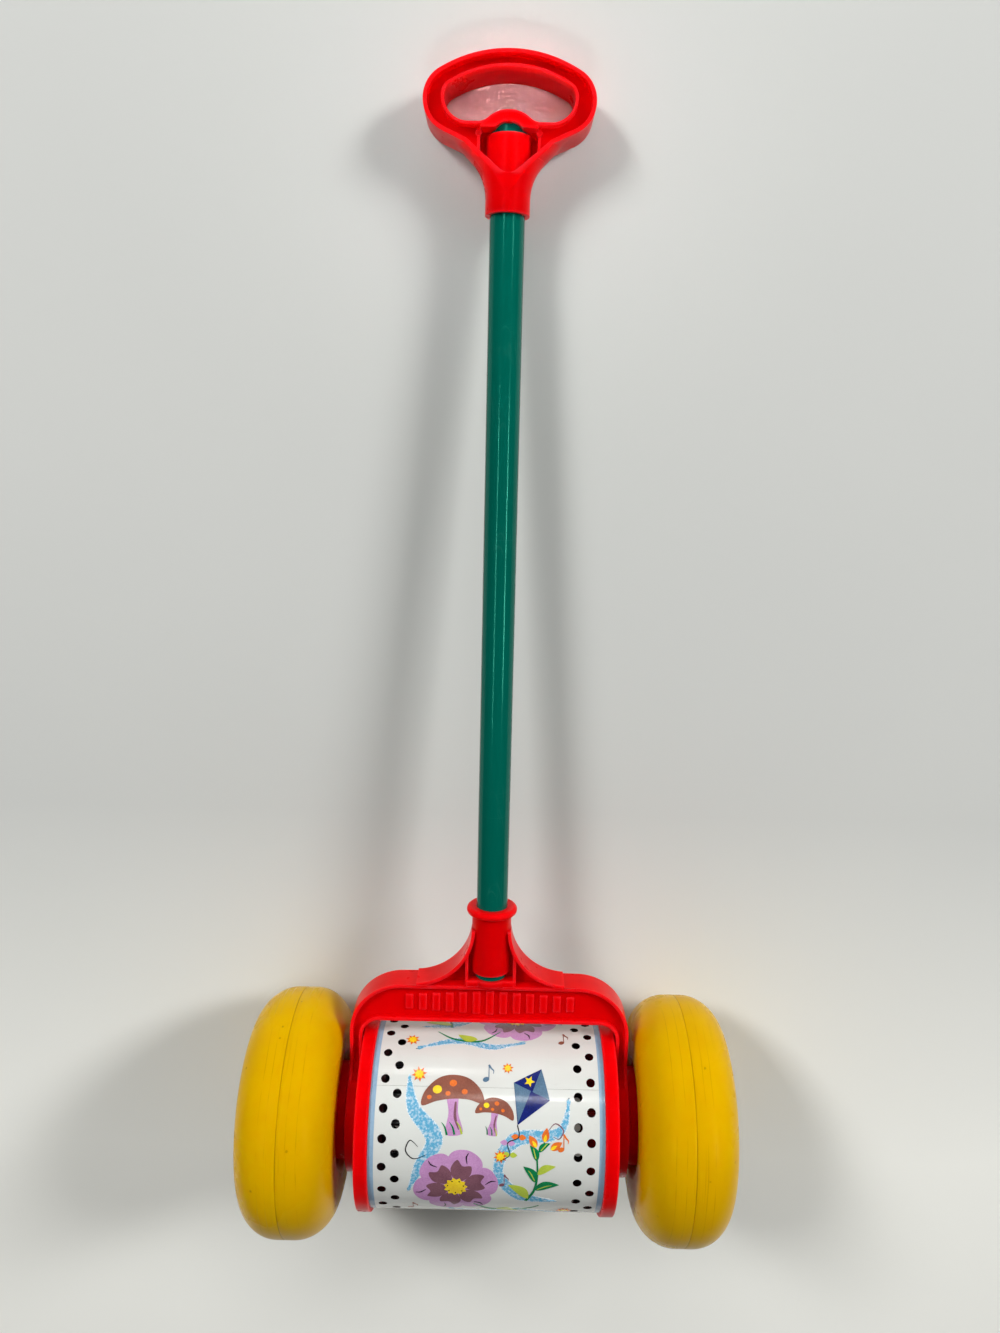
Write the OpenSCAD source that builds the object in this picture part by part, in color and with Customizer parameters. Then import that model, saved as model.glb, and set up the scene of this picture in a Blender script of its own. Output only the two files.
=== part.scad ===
// Chime push toy: two wheels and a ringing drum that roll in a yoke, with a tube and a loop grip.
// It lies on both wheels and the tip of the grip.  Lengths are in millimetres.
// X runs along the axle, Y from the roller towards the grip, Z up from the floor.

/* [Wheels] */
// Diameter over the tread
wheel_d = 125; // [116:1:134]
// Width of each wheel
wheel_w = 48.5; // [45:0.5:54]
// Radius of the rounded tyre corners
tyre_corner_r = 20; // [16:0.5:21]
// Thickness of the blown skin
wheel_skin = 2.4; // [1.8:0.1:3]
// Diameter of the dish in each face
dish_d = 56; // [53:0.5:60]
// Depth of the dish in each face
dish_depth = 9; // [7:0.5:12]
// Radius of the rounded edge of the dish
dish_edge_r = 4; // [2:0.5:5]
// Gap between the yoke ear and the bulge of the wheel
wheel_gap = 4.2; // [3:0.1:7]
// Width of the parting groove round the tread
parting_w = 0.5; // [0.3:0.1:0.8]
// Depth of the parting groove
parting_depth = 0.3; // [0.2:0.1:0.5]

/* [Hubs] */
// Diameter of the spacer hub
hub_d = 49; // [44:0.5:52]
// Diameter of the drive pegs that enter the wheel
peg_d = 6; // [4:0.5:7]
// Radius of the circle of drive pegs
peg_circle_r = 16; // [14:0.5:18]
// Number of drive pegs on each hub
peg_count = 3; // [2:1:5]
// Length of a drive peg past the wheel skin
peg_stand = 2; // [1:0.5:4]

/* [Axle] */
// Diameter of the axle rod
axle_d = 6; // [5:0.5:8]
// Length of axle inside each end cap
axle_grip = 5; // [4:0.5:6]
// Diameter of the domed axle cap
axle_cap_d = 18; // [14:0.5:22]
// Height of the domed axle cap
axle_cap_h = 7; // [6.5:0.5:8.5]

/* [Drum] */
// Outside diameter of the printed shell
drum_d = 94; // [88:1:98]
// Length of shell seen between the flanges
drum_l = 118; // [110:1:126]
// Thickness of the shell sheet
sheet_t = 0.8; // [0.6:0.1:1.2]
// Diameter of a sound hole
sound_hole_d = 4.4; // [3:0.2:5]
// Number of sound holes in a row
sound_hole_count = 21; // [16:1:24]
// Distance of the first row of holes from the flange
sound_row_1 = 7; // [6:0.5:8]
// Distance of the second row of holes from the flange
sound_row_2 = 13.5; // [13:0.5:16]
// Angle of the first hole from the front
sound_hole_start = 1.5; // [0:0.5:17]
// Angle of the rolled seam from the front
seam_angle = 48.6; // [47.6:0.1:49.6]
// Width of the seam groove
seam_w = 0.4; // [0.3:0.1:0.8]
// Depth of the seam groove
seam_depth = 0.3; // [0.1:0.05:0.35]

/* [End caps] */
// Height of the flange above the shell
flange_rise = 2; // [1:0.25:3]
// Width of the flange along the axle
flange_w = 7; // [6:0.5:9]
// Depth of the skirt inside the shell
skirt_depth = 4; // [3:0.5:4.5]
// Thickness of the skirt
skirt_t = 2; // [1.5:0.1:3]
// Thickness of the end plate
plate_t = 2.5; // [2:0.1:3.5]
// Set back of the end plate from the flange face
plate_inset = 1.5; // [1:0.25:2.5]
// Diameter of the journal that turns in the yoke ear
journal_d = 24; // [20:0.5:27]
// Side of the square drive tenon on the journal
tenon_side = 12; // [10:0.5:13]
// Length of the square drive tenon
tenon_l = 6; // [4:0.5:8]

/* [Yoke] */
// Height of the crossbar
bar_h = 20.4; // [18:0.2:24]
// Depth of the crossbar, front to back
bar_depth = 16.5; // [15:0.5:20]
// Gap between the end cap flange and the crossbar
bar_gap = 8.6; // [7.6:0.2:12]
// Thickness of each arm and ear
ear_t = 6.5; // [6:0.1:9]
// Diameter of each ear
ear_d = 61; // [56:0.5:66]
// Fillet radius between arm and ear
ear_fillet_r = 12; // [8:0.5:16]
// Outer corner radius of the yoke
shoulder_r = 27; // [22:0.5:28]
// Inner corner radius of the yoke
inner_corner_r = 9; // [6:0.5:10]
// Wall thickness of the yoke flanges
yoke_wall = 1.8; // [1.4:0.1:2.2]
// Depth of the front panel recess
panel_recess = 3; // [2:0.25:4]
// Height above the axle where the recess in an arm ends
groove_end = 26; // [24:0.5:29]
// Thickness of the panel
panel_t = 2.5; // [2:0.1:3.5]
// Spread of the gusset feet each side of the shaft
gusset_foot = 38.5; // [37:0.5:39.5]
// Height of the gusset flange at its foot
gusset_step = 1.1; // [0.6:0.1:1.8]
// Radius of the hollow gusset curve
gusset_r = 30; // [26:0.5:31]
// Depth of the gusset flanges, front to back
gusset_depth = 16; // [14:0.5:16.5]
// Thickness of the web inside the gussets
gusset_web = 2.5; // [2:0.1:3.5]
// Thickness of the stiffening ribs
rib_t = 1.6; // [1.2:0.1:2.2]
// Distance of the socket ribs from the shaft
socket_rib_x = 12.4; // [11.8:0.1:14]
// Height of the tube socket above the crossbar
socket_h = 38; // [35:0.5:44]
// Height of the collar on the socket
collar_h = 4; // [3:0.25:5]
// Rise of the collar above the socket wall
collar_rise = 2.9; // [2:0.1:3.4]
// Wall thickness of the tube sockets
socket_wall = 2.1; // [1.8:0.1:2.6]
// Height of the front window at the foot of the socket
yoke_window_h = 3.3; // [2.5:0.1:5]
// Thickness of the ledge under the tube
ledge_t = 3; // [2:0.25:4]
// Number of raised bars on the panel
relief_count = 13; // [7:2:15]
// Width of a raised bar
relief_w = 4; // [3:0.25:4.5]
// Distance from bar to bar
relief_pitch = 7; // [5.5:0.25:7]
// Length of the longest raised bar
relief_long = 13; // [11:0.25:13.5]
// Length of the shortest raised bar
relief_short = 8; // [6:0.25:10]
// Rise of the bars above the panel
relief_rise = 1.2; // [0.6:0.1:1.8]

/* [Push tube] */
// Outside diameter of the tube
tube_d = 16; // [15:0.25:18]
// Wall thickness of the tube
tube_wall = 1; // [0.8:0.1:1.5]
// Length of the tube
tube_l = 410; // [360:5:440]

/* [Handle] */
// Height of the grip above the end of the tube
grip_top = 29; // [28:0.25:32]
// Width of the grip
grip_w = 76; // [74:0.5:82]
// Depth of the grip, front to back
grip_depth = 20.5; // [20.5:0.5:24]
// Radius of the top edge of the grip
grip_top_r = 62; // [58:1:70]
// Radius of the grip ends
grip_end_r = 14; // [12.5:0.25:15]
// Slope of the underside of the grip
flank_angle = 24; // [22:0.5:27]
// Thickness of the bar over the hole
grip_bar_t = 7.25; // [6:0.25:8]
// Width of the hole
hole_w = 57.5; // [55:0.5:60]
// Radius of the top edge of the hole
hole_top_r = 52; // [48:1:64]
// Radius of the upper corners of the hole
hole_corner_r = 5.5; // [4.5:0.25:7]
// Radius of the lower corners of the hole
hole_end_r = 10.25; // [9:0.25:11]
// Height of the hump in the hole above the end of the tube
hump_top = 4.8; // [4:0.1:6]
// Radius of the hump
hump_r = 14.5; // [13:0.25:16]
// Fillet radius beside the hump
hump_fillet_r = 7; // [5:0.25:8]
// Drop of the arch over the window at its sides
arch_drop = 2.5; // [2:0.1:3]
// Wall thickness round the outside of the grip
grip_wall = 1.8; // [1.4:0.1:2.4]
// Wall thickness round the hole
lip_t = 1.3; // [1.1:0.1:1.8]
// Depth of the groove in the front of the loop
loop_groove = 4; // [3:0.25:5]
// Thickness of the web of the grip
grip_web = 2.5; // [2:0.1:4]
// Length of the socket below the end of the tube
neck_l = 37; // [34:0.5:44]
// Height of the window at the end of the tube
grip_window_h = 4; // [3:0.25:5]
// Radius of the arch over the window
window_r = 8.8; // [8.5:0.1:9.3]
// Height on the neck where the trumpet begins
flare_start = 7; // [6:0.25:9]
// Radius of the trumpet curve
flare_r = 22; // [19:0.5:24]
// Steepness at which the trumpet curve ends
flare_angle = 46; // [43:0.5:50]
// Distance of the small ribs from the shaft
grip_rib_x = 13.4; // [13:0.1:15]
// Thickness of the small ribs
grip_rib_t = 1.2; // [0.8:0.1:1.6]
// Height of the small ribs above the groove floor
grip_rib_h = 0.8; // [0.5:0.1:1.5]
// Diameter of the round pads on the small ribs
pad_d = 2.8; // [2:0.1:3.4]

/* [Chime] */
// Diameter of the chime block
block_d = 70; // [68:0.5:76]
// Thickness of the chime block
block_t = 9; // [8:0.5:11]
// Diameter of a chime rod
rod_d = 4; // [3:0.25:4.5]
// Radius of the circle of rods
rod_circle_r = 30; // [29:0.25:31]
// Depth of the rods in the block
rod_seat = 6; // [4:0.5:7]
// Free length of the longest rod
rod_long = 98; // [90:1:100]
// Step in length from rod to rod
rod_step = 6; // [3:0.5:7]
// Diameter of a clapper pin
pin_d = 3; // [2.5:0.1:3.5]
// Radius of the circle of pins
pin_circle_r = 14; // [13:0.25:15]
// Free length of the pins
pin_l = 44; // [40:1:52]
// Length of a clapper arm from pin to ball
clapper_arm = 16; // [15.5:0.1:16.5]
// Diameter of the clapper ball
clapper_ball_d = 8; // [7:0.25:8.5]
// Diameter of the clapper eye
clapper_eye_d = 8; // [7:0.25:8.5]
// Thickness of the clapper arm and eye
clapper_t = 4; // [3:0.25:5]
// Width of the clapper arm
clapper_w = 4; // [3:0.25:5]
// Distance of the clappers from the block
clapper_offset = 36; // [32:1:36]
// Diameter of a clip on a pin
clip_d = 7; // [5.5:0.25:8]
// Thickness of a clip
clip_t = 1; // [0.6:0.1:1.5]
// Diameter of the chime screws
screw_d = 4; // [3:0.25:4.5]
// Diameter of the screw heads
screw_head_d = 7.5; // [6.5:0.25:8]
// Height of the screw heads
screw_head_h = 2.4; // [2:0.1:3]
// Radius of the circle of screws
screw_circle_r = 23; // [22:0.25:24]

/* [Fits] */
// Radial clearance of seats that do not move
seat_gap = 0.05; // [0.03:0.01:0.1]
// Radial clearance of the journals in the ears
journal_gap = 0.3; // [0.2:0.05:0.5]
// Side clearance of turning faces
side_gap = 0.6; // [0.4:0.05:1]
// Radial running clearance of the clappers on their pins
pin_gap = 0.05; // [0.03:0.01:0.09]
// Gap left between a resting clapper and its rod
strike_gap = 0.3; // [0.25:0.05:0.5]

/* [Hidden] */
$fn = 96;
eps = 0.5;
fillet_bite = 0.3;
foot_rise = 2;
red = "#e01822";
yellow = "#e0ac10";
green = "#0a7a5c";
steel = "#b8bcc0";
zinc = "#8e9296";
white = "#f2f2ee";

// Stations along the axle, from the middle outwards
wheel_r = wheel_d / 2;
shell_r = drum_d / 2;
shell_in_r = shell_r - sheet_t;
flange_r = shell_r + flange_rise;
flange_in = drum_l / 2;
flange_out = flange_in + flange_w;
plate_out = flange_out - plate_inset;
plate_in = plate_out - plate_t;
ear_in = flange_out + side_gap;
ear_out = ear_in + ear_t;
hub_in = ear_out + side_gap;
wheel_in = ear_out + wheel_gap;
wheel_out = wheel_in + wheel_w;
dish_in = wheel_in + dish_depth;
dish_out = wheel_out - dish_depth;
axle_end = dish_out + axle_grip;
axle_hole_r = axle_d / 2 + seat_gap;
journal_r = journal_d / 2;
ear_r = ear_d / 2;

// Heights up the shaft, from the axle
bar_bottom = flange_r + bar_gap;
bar_top = bar_bottom + bar_h;
tube_bottom = bar_top + ledge_t;
tube_top = tube_bottom + tube_l;
tube_r = tube_d / 2;
socket_bore_r = tube_r + seat_gap;
socket_r = socket_bore_r + socket_wall;
collar_r = socket_r + collar_rise;
socket_top = bar_top + socket_h;
collar_top = socket_top + collar_h;
grip_end = tube_top + grip_top;

// Lean of the shaft when the tip of the grip is on the floor
grip_reach = sqrt(grip_end * grip_end + grip_depth * grip_depth / 4);
lean = asin(wheel_r / grip_reach) - atan(grip_depth / 2 / grip_end);
front_y = grip_end * cos(lean) + grip_depth / 2 * sin(lean);
axle_y = (wheel_r - front_y) / 2;

// Grip outline, from the end of the tube
top_y = grip_top - grip_top_r;
end_x = grip_w / 2 - grip_end_r;
end_y = top_y + sqrt(pow(grip_top_r - grip_end_r, 2) - end_x * end_x);
end_a = atan2(end_y - top_y, end_x);
hole_y = grip_top - grip_bar_t - hole_top_r;
hole_corner_x = hole_w / 2 - hole_corner_r;
hole_end_x = hole_w / 2 - hole_end_r;
hole_end_y = hole_y + sqrt(pow(hole_top_r - hole_corner_r, 2) - hole_corner_x * hole_corner_x);
hole_a = atan2(hole_end_y - hole_y, hole_corner_x);
hole_low = hole_end_y - hole_end_r;
hump_y = hump_top - hump_r;
loop_floor = grip_depth / 2 - loop_groove;
flank_x = end_x + grip_end_r * sin(flank_angle);
flank_y = end_y - grip_end_r * cos(flank_angle);

// Trumpet of the neck: a hollow curve, then a straight cone that meets the underside of the grip
flare_x = socket_r + flare_r;
flare_y = flare_start - neck_l;
flare_end_x = flare_x - flare_r * sin(flare_angle);
flare_end_y = flare_y + flare_r * cos(flare_angle);
cone_run = 1 / tan(flare_angle);
flank_run = 1 / tan(flank_angle);
meet_y = (flank_x - flank_y * flank_run - flare_end_x + flare_end_y * cone_run) / (cone_run - flank_run);
cone_y = meet_y + grip_wall;
grip_foot = flare_end_y + foot_rise;

// Chime: angles in the roller, seen from its right side, with 0 to the grip and 90 up
chime_face = block_t - plate_in;
rod_angles = [0, 60, 120, 180, 240, 300];
clapper_angles = [270, 30, 150];
pin_rod_x = rod_circle_r * cos(30) - pin_circle_r;
pin_rod_y = rod_circle_r * sin(30);
pin_rod = sqrt(pin_rod_x * pin_rod_x + pin_rod_y * pin_rod_y);
strike_reach = (clapper_ball_d + rod_d) / 2 + strike_gap;
strike_cos = (clapper_arm * clapper_arm + pin_rod * pin_rod - strike_reach * strike_reach)
           / (2 * clapper_arm * pin_rod);
clapper_swing = atan2(pin_rod_y, pin_rod_x) - acos(strike_cos);
clapper_turns = [270, 30 - clapper_swing, 150 + clapper_swing];

// Placing

// Puts shaft coordinates (across, up the shaft, out of the front) into the lying pose
module on_shaft() {
  translate([0, axle_y, wheel_r])
    rotate([-lean, 0, 0])
      children();
}

// Puts roller coordinates on the axle
module on_axle() {
  translate([0, axle_y, wheel_r])
    children();
}

// Turns a profile drawn as (radius, distance from the middle) about the axle, on side 1 or -1
module turned(side) {
  rotate([0, 90 * side, 0])
    rotate_extrude()
      children();
}

// A cylinder along the axle on side 1 or -1
module along_axle(side, from, to, r) {
  rotate([0, 90 * side, 0])
    translate([0, 0, from])
      cylinder(r = r, h = to - from);
}

// Points along an arc, from one angle to another
function arc_points(x, y, r, from, to, steps) =
  [for (i = [0 : steps])
    let (a = from + (to - from) * i / steps)
      [x + r * cos(a), y + r * sin(a)]];

// A rectangle from its low corner to its high corner
module area(low, high) {
  translate(low)
    square(high - low);
}

// Handle

// Outline of the grip, drawn in by a distance
module grip_outline(inset) {
  end_r = grip_end_r - inset;
  low_x = end_x + end_r * sin(flank_angle);
  low_y = end_y - end_r * cos(flank_angle);
  foot_x = low_x - (low_y - grip_foot) * flank_run;
  polygon(concat(
    arc_points(0, top_y, grip_top_r - inset, end_a, 180 - end_a, 32),
    arc_points(-end_x, end_y, end_r, 180 - end_a, 270 - flank_angle, 24),
    [[-foot_x, grip_foot], [foot_x, grip_foot]],
    arc_points(end_x, end_y, end_r, flank_angle - 90, end_a, 24)));
}

// The hole of the grip with the hump in its lower edge, drawn out by a distance
module hole_outline(grow) {
  corner_r = hole_corner_r + grow;
  end_r = hole_end_r + grow;
  bump_r = hump_r - grow;
  fillet_r = hump_fillet_r + grow;
  fillet_y = hole_low - grow + fillet_r;
  rise = fillet_y - hump_y;
  fillet_x = sqrt(pow(bump_r + fillet_r, 2) - rise * rise);
  bump_a = atan2(rise, fillet_x);
  polygon(concat(
    arc_points(0, hole_y, hole_top_r + grow, 180 - hole_a, hole_a, 24),
    arc_points(hole_corner_x, hole_end_y, corner_r, hole_a, 0, 12),
    arc_points(hole_end_x, hole_end_y, end_r, 0, -90, 20),
    arc_points(fillet_x, fillet_y, fillet_r, 270, 180 + bump_a, 8),
    arc_points(0, hump_y, bump_r, bump_a, 180 - bump_a, 16),
    arc_points(-fillet_x, fillet_y, fillet_r, -bump_a, -90, 8),
    arc_points(-hole_end_x, hole_end_y, end_r, 270, 180, 20),
    arc_points(-hole_corner_x, hole_end_y, corner_r, 180, 180 - hole_a, 12)));
}

// Profile of the neck, as (radius, height), drawn in by a distance
module neck_profile(inset) {
  curve_r = flare_r + inset;
  x1 = flare_x - curve_r * sin(flare_angle);
  y1 = flare_y + curve_r * cos(flare_angle);
  x2 = x1 + (cone_y - y1) * cone_run;
  difference() {
    polygon([[0, -neck_l], [socket_r - inset, -neck_l], [socket_r - inset, flare_y], [flare_x, flare_y],
             [x1, y1], [x2, cone_y], [0, cone_y]]);
    translate([flare_x, flare_y])
      circle(r = curve_r);
  }
}

// The neck turned about the shaft
module neck(inset) {
  rotate([-90, 0, 0])
    mirror([0, 1, 0])
      rotate_extrude()
        neck_profile(inset);
}

// A cylinder up the shaft from one height to another
module up_shaft(from, to, r) {
  translate([0, from, 0])
    rotate([-90, 0, 0])
      cylinder(r = r, h = to - from);
}

// The web of the grip: near the front round the loop, and halfway back beside the tube
module grip_webs() {
  well_h = neck_l + hump_top;
  difference() {
    translate([-grip_w, -neck_l, loop_floor - grip_web])
      cube([2 * grip_w, neck_l + grip_top, grip_web]);
    translate([-grip_rib_x, -neck_l - eps, 0])
      cube([2 * grip_rib_x, well_h + eps, grip_depth]);
  }
  translate([-grip_rib_x, -neck_l, -grip_web / 2])
    cube([2 * grip_rib_x, well_h, grip_web]);
  for (side = [-1, 1])
    translate([side * grip_rib_x, 0, -grip_web / 2]) {
      translate([-grip_rib_t / 2, -neck_l, 0])
        cube([grip_rib_t, well_h, loop_floor + grip_web / 2 + grip_rib_h]);
      translate([0, -grip_window_h, 0])
        cylinder(d = pad_d, h = loop_floor + grip_web / 2 + grip_rib_h + grip_rib_t / 2);
    }
}

// The solid part of the hump, which arches from rib to rib over the end of the tube
module hump_arch() {
  difference() {
    intersection() {
      translate([0, hump_y])
        circle(r = hump_r);
      area([-grip_rib_x, -arch_drop], [grip_rib_x, grip_top]);
    }
    translate([0, -window_r])
      circle(r = window_r);
  }
}

// What is cored out of the grip and its neck, from the front and from the back
module grip_core() {
  difference() {
    union() {
      linear_extrude(height = 2 * grip_depth, center = true)
        grip_outline(grip_wall);
      intersection() {
        neck(grip_wall);
        translate([-grip_w, -neck_l, -grip_depth])
          cube([2 * grip_w, neck_l, 2 * grip_depth]);
      }
    }
    up_shaft(-neck_l - eps, -grip_window_h, socket_r);
    linear_extrude(height = 2 * grip_depth, center = true)
      hole_outline(lip_t);
    linear_extrude(height = 2 * grip_depth, center = true)
      hump_arch();
    grip_webs();
  }
}

module handle() {
  color(red)
    on_shaft()
      translate([0, tube_top, 0])
        difference() {
          union() {
            linear_extrude(height = grip_depth, center = true)
              grip_outline(0);
            intersection() {
              neck(0);
              translate([-grip_w, -neck_l - eps, -grip_depth / 2])
                cube([2 * grip_w, neck_l + eps, grip_depth]);
            }
          }
          linear_extrude(height = 2 * grip_depth, center = true)
            hole_outline(0);
          up_shaft(-neck_l - eps, 0, socket_bore_r);
          grip_core();
        }
}

// Push tube

module push_tube() {
  color(green)
    on_shaft()
      difference() {
        up_shaft(tube_bottom, tube_top, tube_r);
        up_shaft(tube_bottom - eps, tube_top + eps, tube_r - tube_wall);
      }
}

// Yoke

// An arch, open below, with rounded top corners
module arch(half_w, top, corner_r, low) {
  area([-half_w, low], [half_w, top - corner_r]);
  area([corner_r - half_w, low], [half_w - corner_r, top]);
  for (side = [-1, 1])
    translate([side * (half_w - corner_r), top - corner_r])
      circle(r = corner_r);
}

// Front outline of crossbar and arms, drawn in by a distance
module fork_outline(inset) {
  difference() {
    arch(ear_out - inset, bar_top - inset, shoulder_r - inset, 0);
    arch(ear_in + inset, bar_bottom + inset, inner_corner_r + inset, -eps);
  }
}

// The gusset between crossbar and socket, drawn in by a distance
module gusset_outline(inset) {
  difference() {
    area([inset - gusset_foot, bar_top - eps], [gusset_foot - inset, bar_top + gusset_r]);
    for (side = [-1, 1])
      translate([side * (socket_r + gusset_r), bar_top + gusset_r + gusset_step])
        circle(r = gusset_r + inset);
  }
}

// Side outline of an arm and its ear, as (out of the front, up the shaft)
// The fillets run a little into the arm and the ear, so that the curves cross
module ear_outline() {
  fillet_x = bar_depth / 2 + ear_fillet_r - fillet_bite;
  fillet_y = sqrt(pow(ear_r + ear_fillet_r - fillet_bite, 2) - fillet_x * fillet_x);
  circle(r = ear_r);
  difference() {
    polygon([[0, 0], [fillet_x, fillet_y], [-fillet_x, fillet_y]]);
    for (side = [-1, 1])
      translate([side * fillet_x, fillet_y])
        circle(r = ear_fillet_r);
  }
}

// Side outline of the recess that runs on from the arm down the front of its ear
module ear_groove() {
  floor_x = bar_depth / 2 - panel_recess;
  difference() {
    area([floor_x, groove_end], [ear_r, bar_bottom - inner_corner_r]);
    translate([fillet_bite - panel_recess, 0])
      ear_outline();
  }
}

// The rounded collar at the mouth of the socket
module collar() {
  bead_r = collar_h / 2;
  translate([0, socket_top + bead_r, 0])
    rotate([-90, 0, 0])
      rotate_extrude() {
        area([0, -bead_r], [collar_r - bead_r, bead_r]);
        translate([collar_r - bead_r, 0])
          circle(r = bead_r);
      }
}

// Recess of the crossbar and arms, seen from the front
module panel_outline() {
  intersection() {
    fork_outline(yoke_wall);
    area([-ear_out, ear_r], [ear_out, bar_top]);
  }
}

// Ribs across the back of the crossbar
module back_ribs() {
  for (x = [socket_rib_x, gusset_foot, ear_in - inner_corner_r], side = [-1, 1])
    translate([side * x - rib_t / 2, bar_bottom, -bar_depth / 2])
      cube([rib_t, bar_h, bar_depth]);
}

// What is cored out of one face of the gussets
module gusset_pocket() {
  difference() {
    translate([0, 0, gusset_web / 2])
      linear_extrude(height = bar_depth)
        intersection() {
          gusset_outline(yoke_wall);
          area([-gusset_foot, bar_top], [gusset_foot, socket_top]);
        }
    up_shaft(bar_top + yoke_window_h + ledge_t, collar_top, socket_r);
    for (side = [-1, 1])
      translate([side * socket_rib_x - rib_t / 2, bar_top - eps, 0])
        cube([rib_t, socket_h, gusset_depth / 2 - rib_t / 2]);
    translate([-socket_rib_x, bar_top - eps, 0])
      cube([2 * socket_rib_x, ledge_t + eps, socket_r]);
  }
}

// The row of raised bars on the panel, longest in the middle
module panel_relief() {
  mid = (bar_bottom + bar_top) / 2;
  last = (relief_count - 1) / 2;
  for (i = [-last : last]) {
    long = relief_long - (relief_long - relief_short) * abs(i) / last;
    translate([i * relief_pitch - relief_w / 2, mid - long / 2, bar_depth / 2 - panel_recess - panel_t / 2])
      cube([relief_w, long, panel_t / 2 + relief_rise]);
  }
}

module yoke() {
  color(red)
    on_shaft()
      difference() {
        union() {
          difference() {
            linear_extrude(height = bar_depth, center = true)
              fork_outline(0);
            translate([0, 0, bar_depth / 2 - panel_recess])
              linear_extrude(height = bar_depth)
                panel_outline();
            difference() {
              translate([0, 0, -bar_depth - panel_recess - panel_t + bar_depth / 2])
                linear_extrude(height = bar_depth)
                  panel_outline();
              back_ribs();
            }
          }
          panel_relief();
          difference() {
            union() {
              linear_extrude(height = gusset_depth, center = true)
                gusset_outline(0);
              up_shaft(bar_top, collar_top - collar_h / 2, socket_r);
            }
            gusset_pocket();
            mirror([0, 0, 1])
              gusset_pocket();
          }
          collar();
          for (side = [-1, 1])
            translate([side * (ear_in + ear_out) / 2, 0, 0])
              rotate([0, -90, 0])
                linear_extrude(height = ear_t, center = true)
                  ear_outline();
        }
        up_shaft(tube_bottom, collar_top + eps, socket_bore_r);
        for (side = [-1, 1]) {
          along_axle(side, ear_in - eps, ear_out + eps, journal_r + journal_gap);
          translate([side * (ear_in + ear_out) / 2, 0, 0])
            rotate([0, -90, 0])
              linear_extrude(height = ear_t - 2 * yoke_wall, center = true)
                ear_groove();
        }
      }
}

// Drum

module drum_shell() {
  rows = [sound_row_1, sound_row_2];
  pitch = 360 / sound_hole_count;
  color(white)
    on_axle()
      difference() {
        rotate([0, 90, 0])
          cylinder(r = shell_r, h = drum_l, center = true);
        rotate([0, 90, 0])
          cylinder(r = shell_in_r, h = drum_l + eps, center = true);
        for (side = [-1, 1], row = [0, 1], i = [0 : sound_hole_count - 1])
          rotate([-lean - sound_hole_start - pitch * (i + row / 2), 0, 0])
            translate([side * (flange_in - rows[row]), 0, shell_in_r - sheet_t])
              cylinder(d = sound_hole_d, h = 3 * sheet_t);
        rotate([-lean - seam_angle, 0, 0])
          translate([-drum_l, -seam_w / 2, shell_r - seam_depth])
            cube([2 * drum_l, seam_w, 2 * seam_depth]);
      }
}

// Profile of an end cap, as (radius, distance from the middle)
module cap_profile() {
  skirt_r = shell_in_r - seat_gap;
  area([skirt_r - skirt_t, flange_in - skirt_depth], [skirt_r, flange_in + eps]);
  area([skirt_r - skirt_t, flange_in], [flange_r, flange_out]);
  area([axle_hole_r, plate_in], [skirt_r, plate_out]);
  area([axle_hole_r, plate_in], [journal_r, hub_in]);
}

// An end cap with its journal and drive tenon
module end_cap(side) {
  color(red)
    on_axle()
      difference() {
        union() {
          turned(side)
            cap_profile();
          translate([side * (hub_in + tenon_l / 2 - eps / 2), 0, 0])
            cube([tenon_l + eps, tenon_side, tenon_side], center = true);
        }
        along_axle(side, 0, wheel_out, axle_hole_r);
        if (side < 0)
          for (angle = clapper_angles)
            rotate([angle, 0, 0])
              translate([0, screw_circle_r, 0])
                along_axle(side, plate_in - eps, plate_out + eps, screw_d / 2 + seat_gap);
      }
}

module left_end_cap() {
  end_cap(-1);
}

module right_end_cap() {
  end_cap(1);
}

// Wheels

// Half section of the tyre outside, as (radius, distance from the inner face), drawn in by a distance
module tyre_profile(inset) {
  low = inset;
  high = wheel_w - inset;
  corner = wheel_r - tyre_corner_r;
  area([0, low], [corner, high]);
  area([0, tyre_corner_r], [wheel_r - inset, wheel_w - tyre_corner_r]);
  for (y = [tyre_corner_r, wheel_w - tyre_corner_r])
    translate([corner, y])
      circle(r = tyre_corner_r - inset);
}

// The dish in one face, with its rounded edge, grown by a distance
module dish_profile(grow) {
  r = dish_d / 2 + grow;
  edge_r = dish_edge_r - grow / 2;
  area([-eps, -eps], [r, dish_depth + grow]);
  difference() {
    area([r - eps, -eps], [r + edge_r, edge_r]);
    translate([r + edge_r, edge_r])
      circle(r = edge_r);
  }
}

module wheel_profile() {
  difference() {
    tyre_profile(0);
    dish_profile(0);
    translate([0, wheel_w])
      mirror([0, 1])
        dish_profile(0);
    difference() {
      tyre_profile(wheel_skin);
      dish_profile(wheel_skin);
      translate([0, wheel_w])
        mirror([0, 1])
          dish_profile(wheel_skin);
    }
    area([-eps, -eps], [axle_hole_r, wheel_w + eps]);
    area([wheel_r - parting_depth, (wheel_w - parting_w) / 2], [wheel_r + eps, (wheel_w + parting_w) / 2]);
  }
}

// Puts the drive pegs, or the holes for them, on a hub or wheel
module pegs(side, from, to, r) {
  for (i = [0 : peg_count - 1])
    rotate([360 * i / peg_count, 0, 0])
      translate([0, 0, peg_circle_r])
        along_axle(side, from, to, r);
}

module wheel(side) {
  color(yellow)
    on_axle()
      difference() {
        turned(side)
          translate([0, wheel_in])
            wheel_profile();
        pegs(side, dish_in - eps, dish_in + wheel_skin + eps, peg_d / 2 + seat_gap);
      }
}

module left_wheel() {
  wheel(-1);
}

module right_wheel() {
  wheel(1);
}

// Hubs

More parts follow.
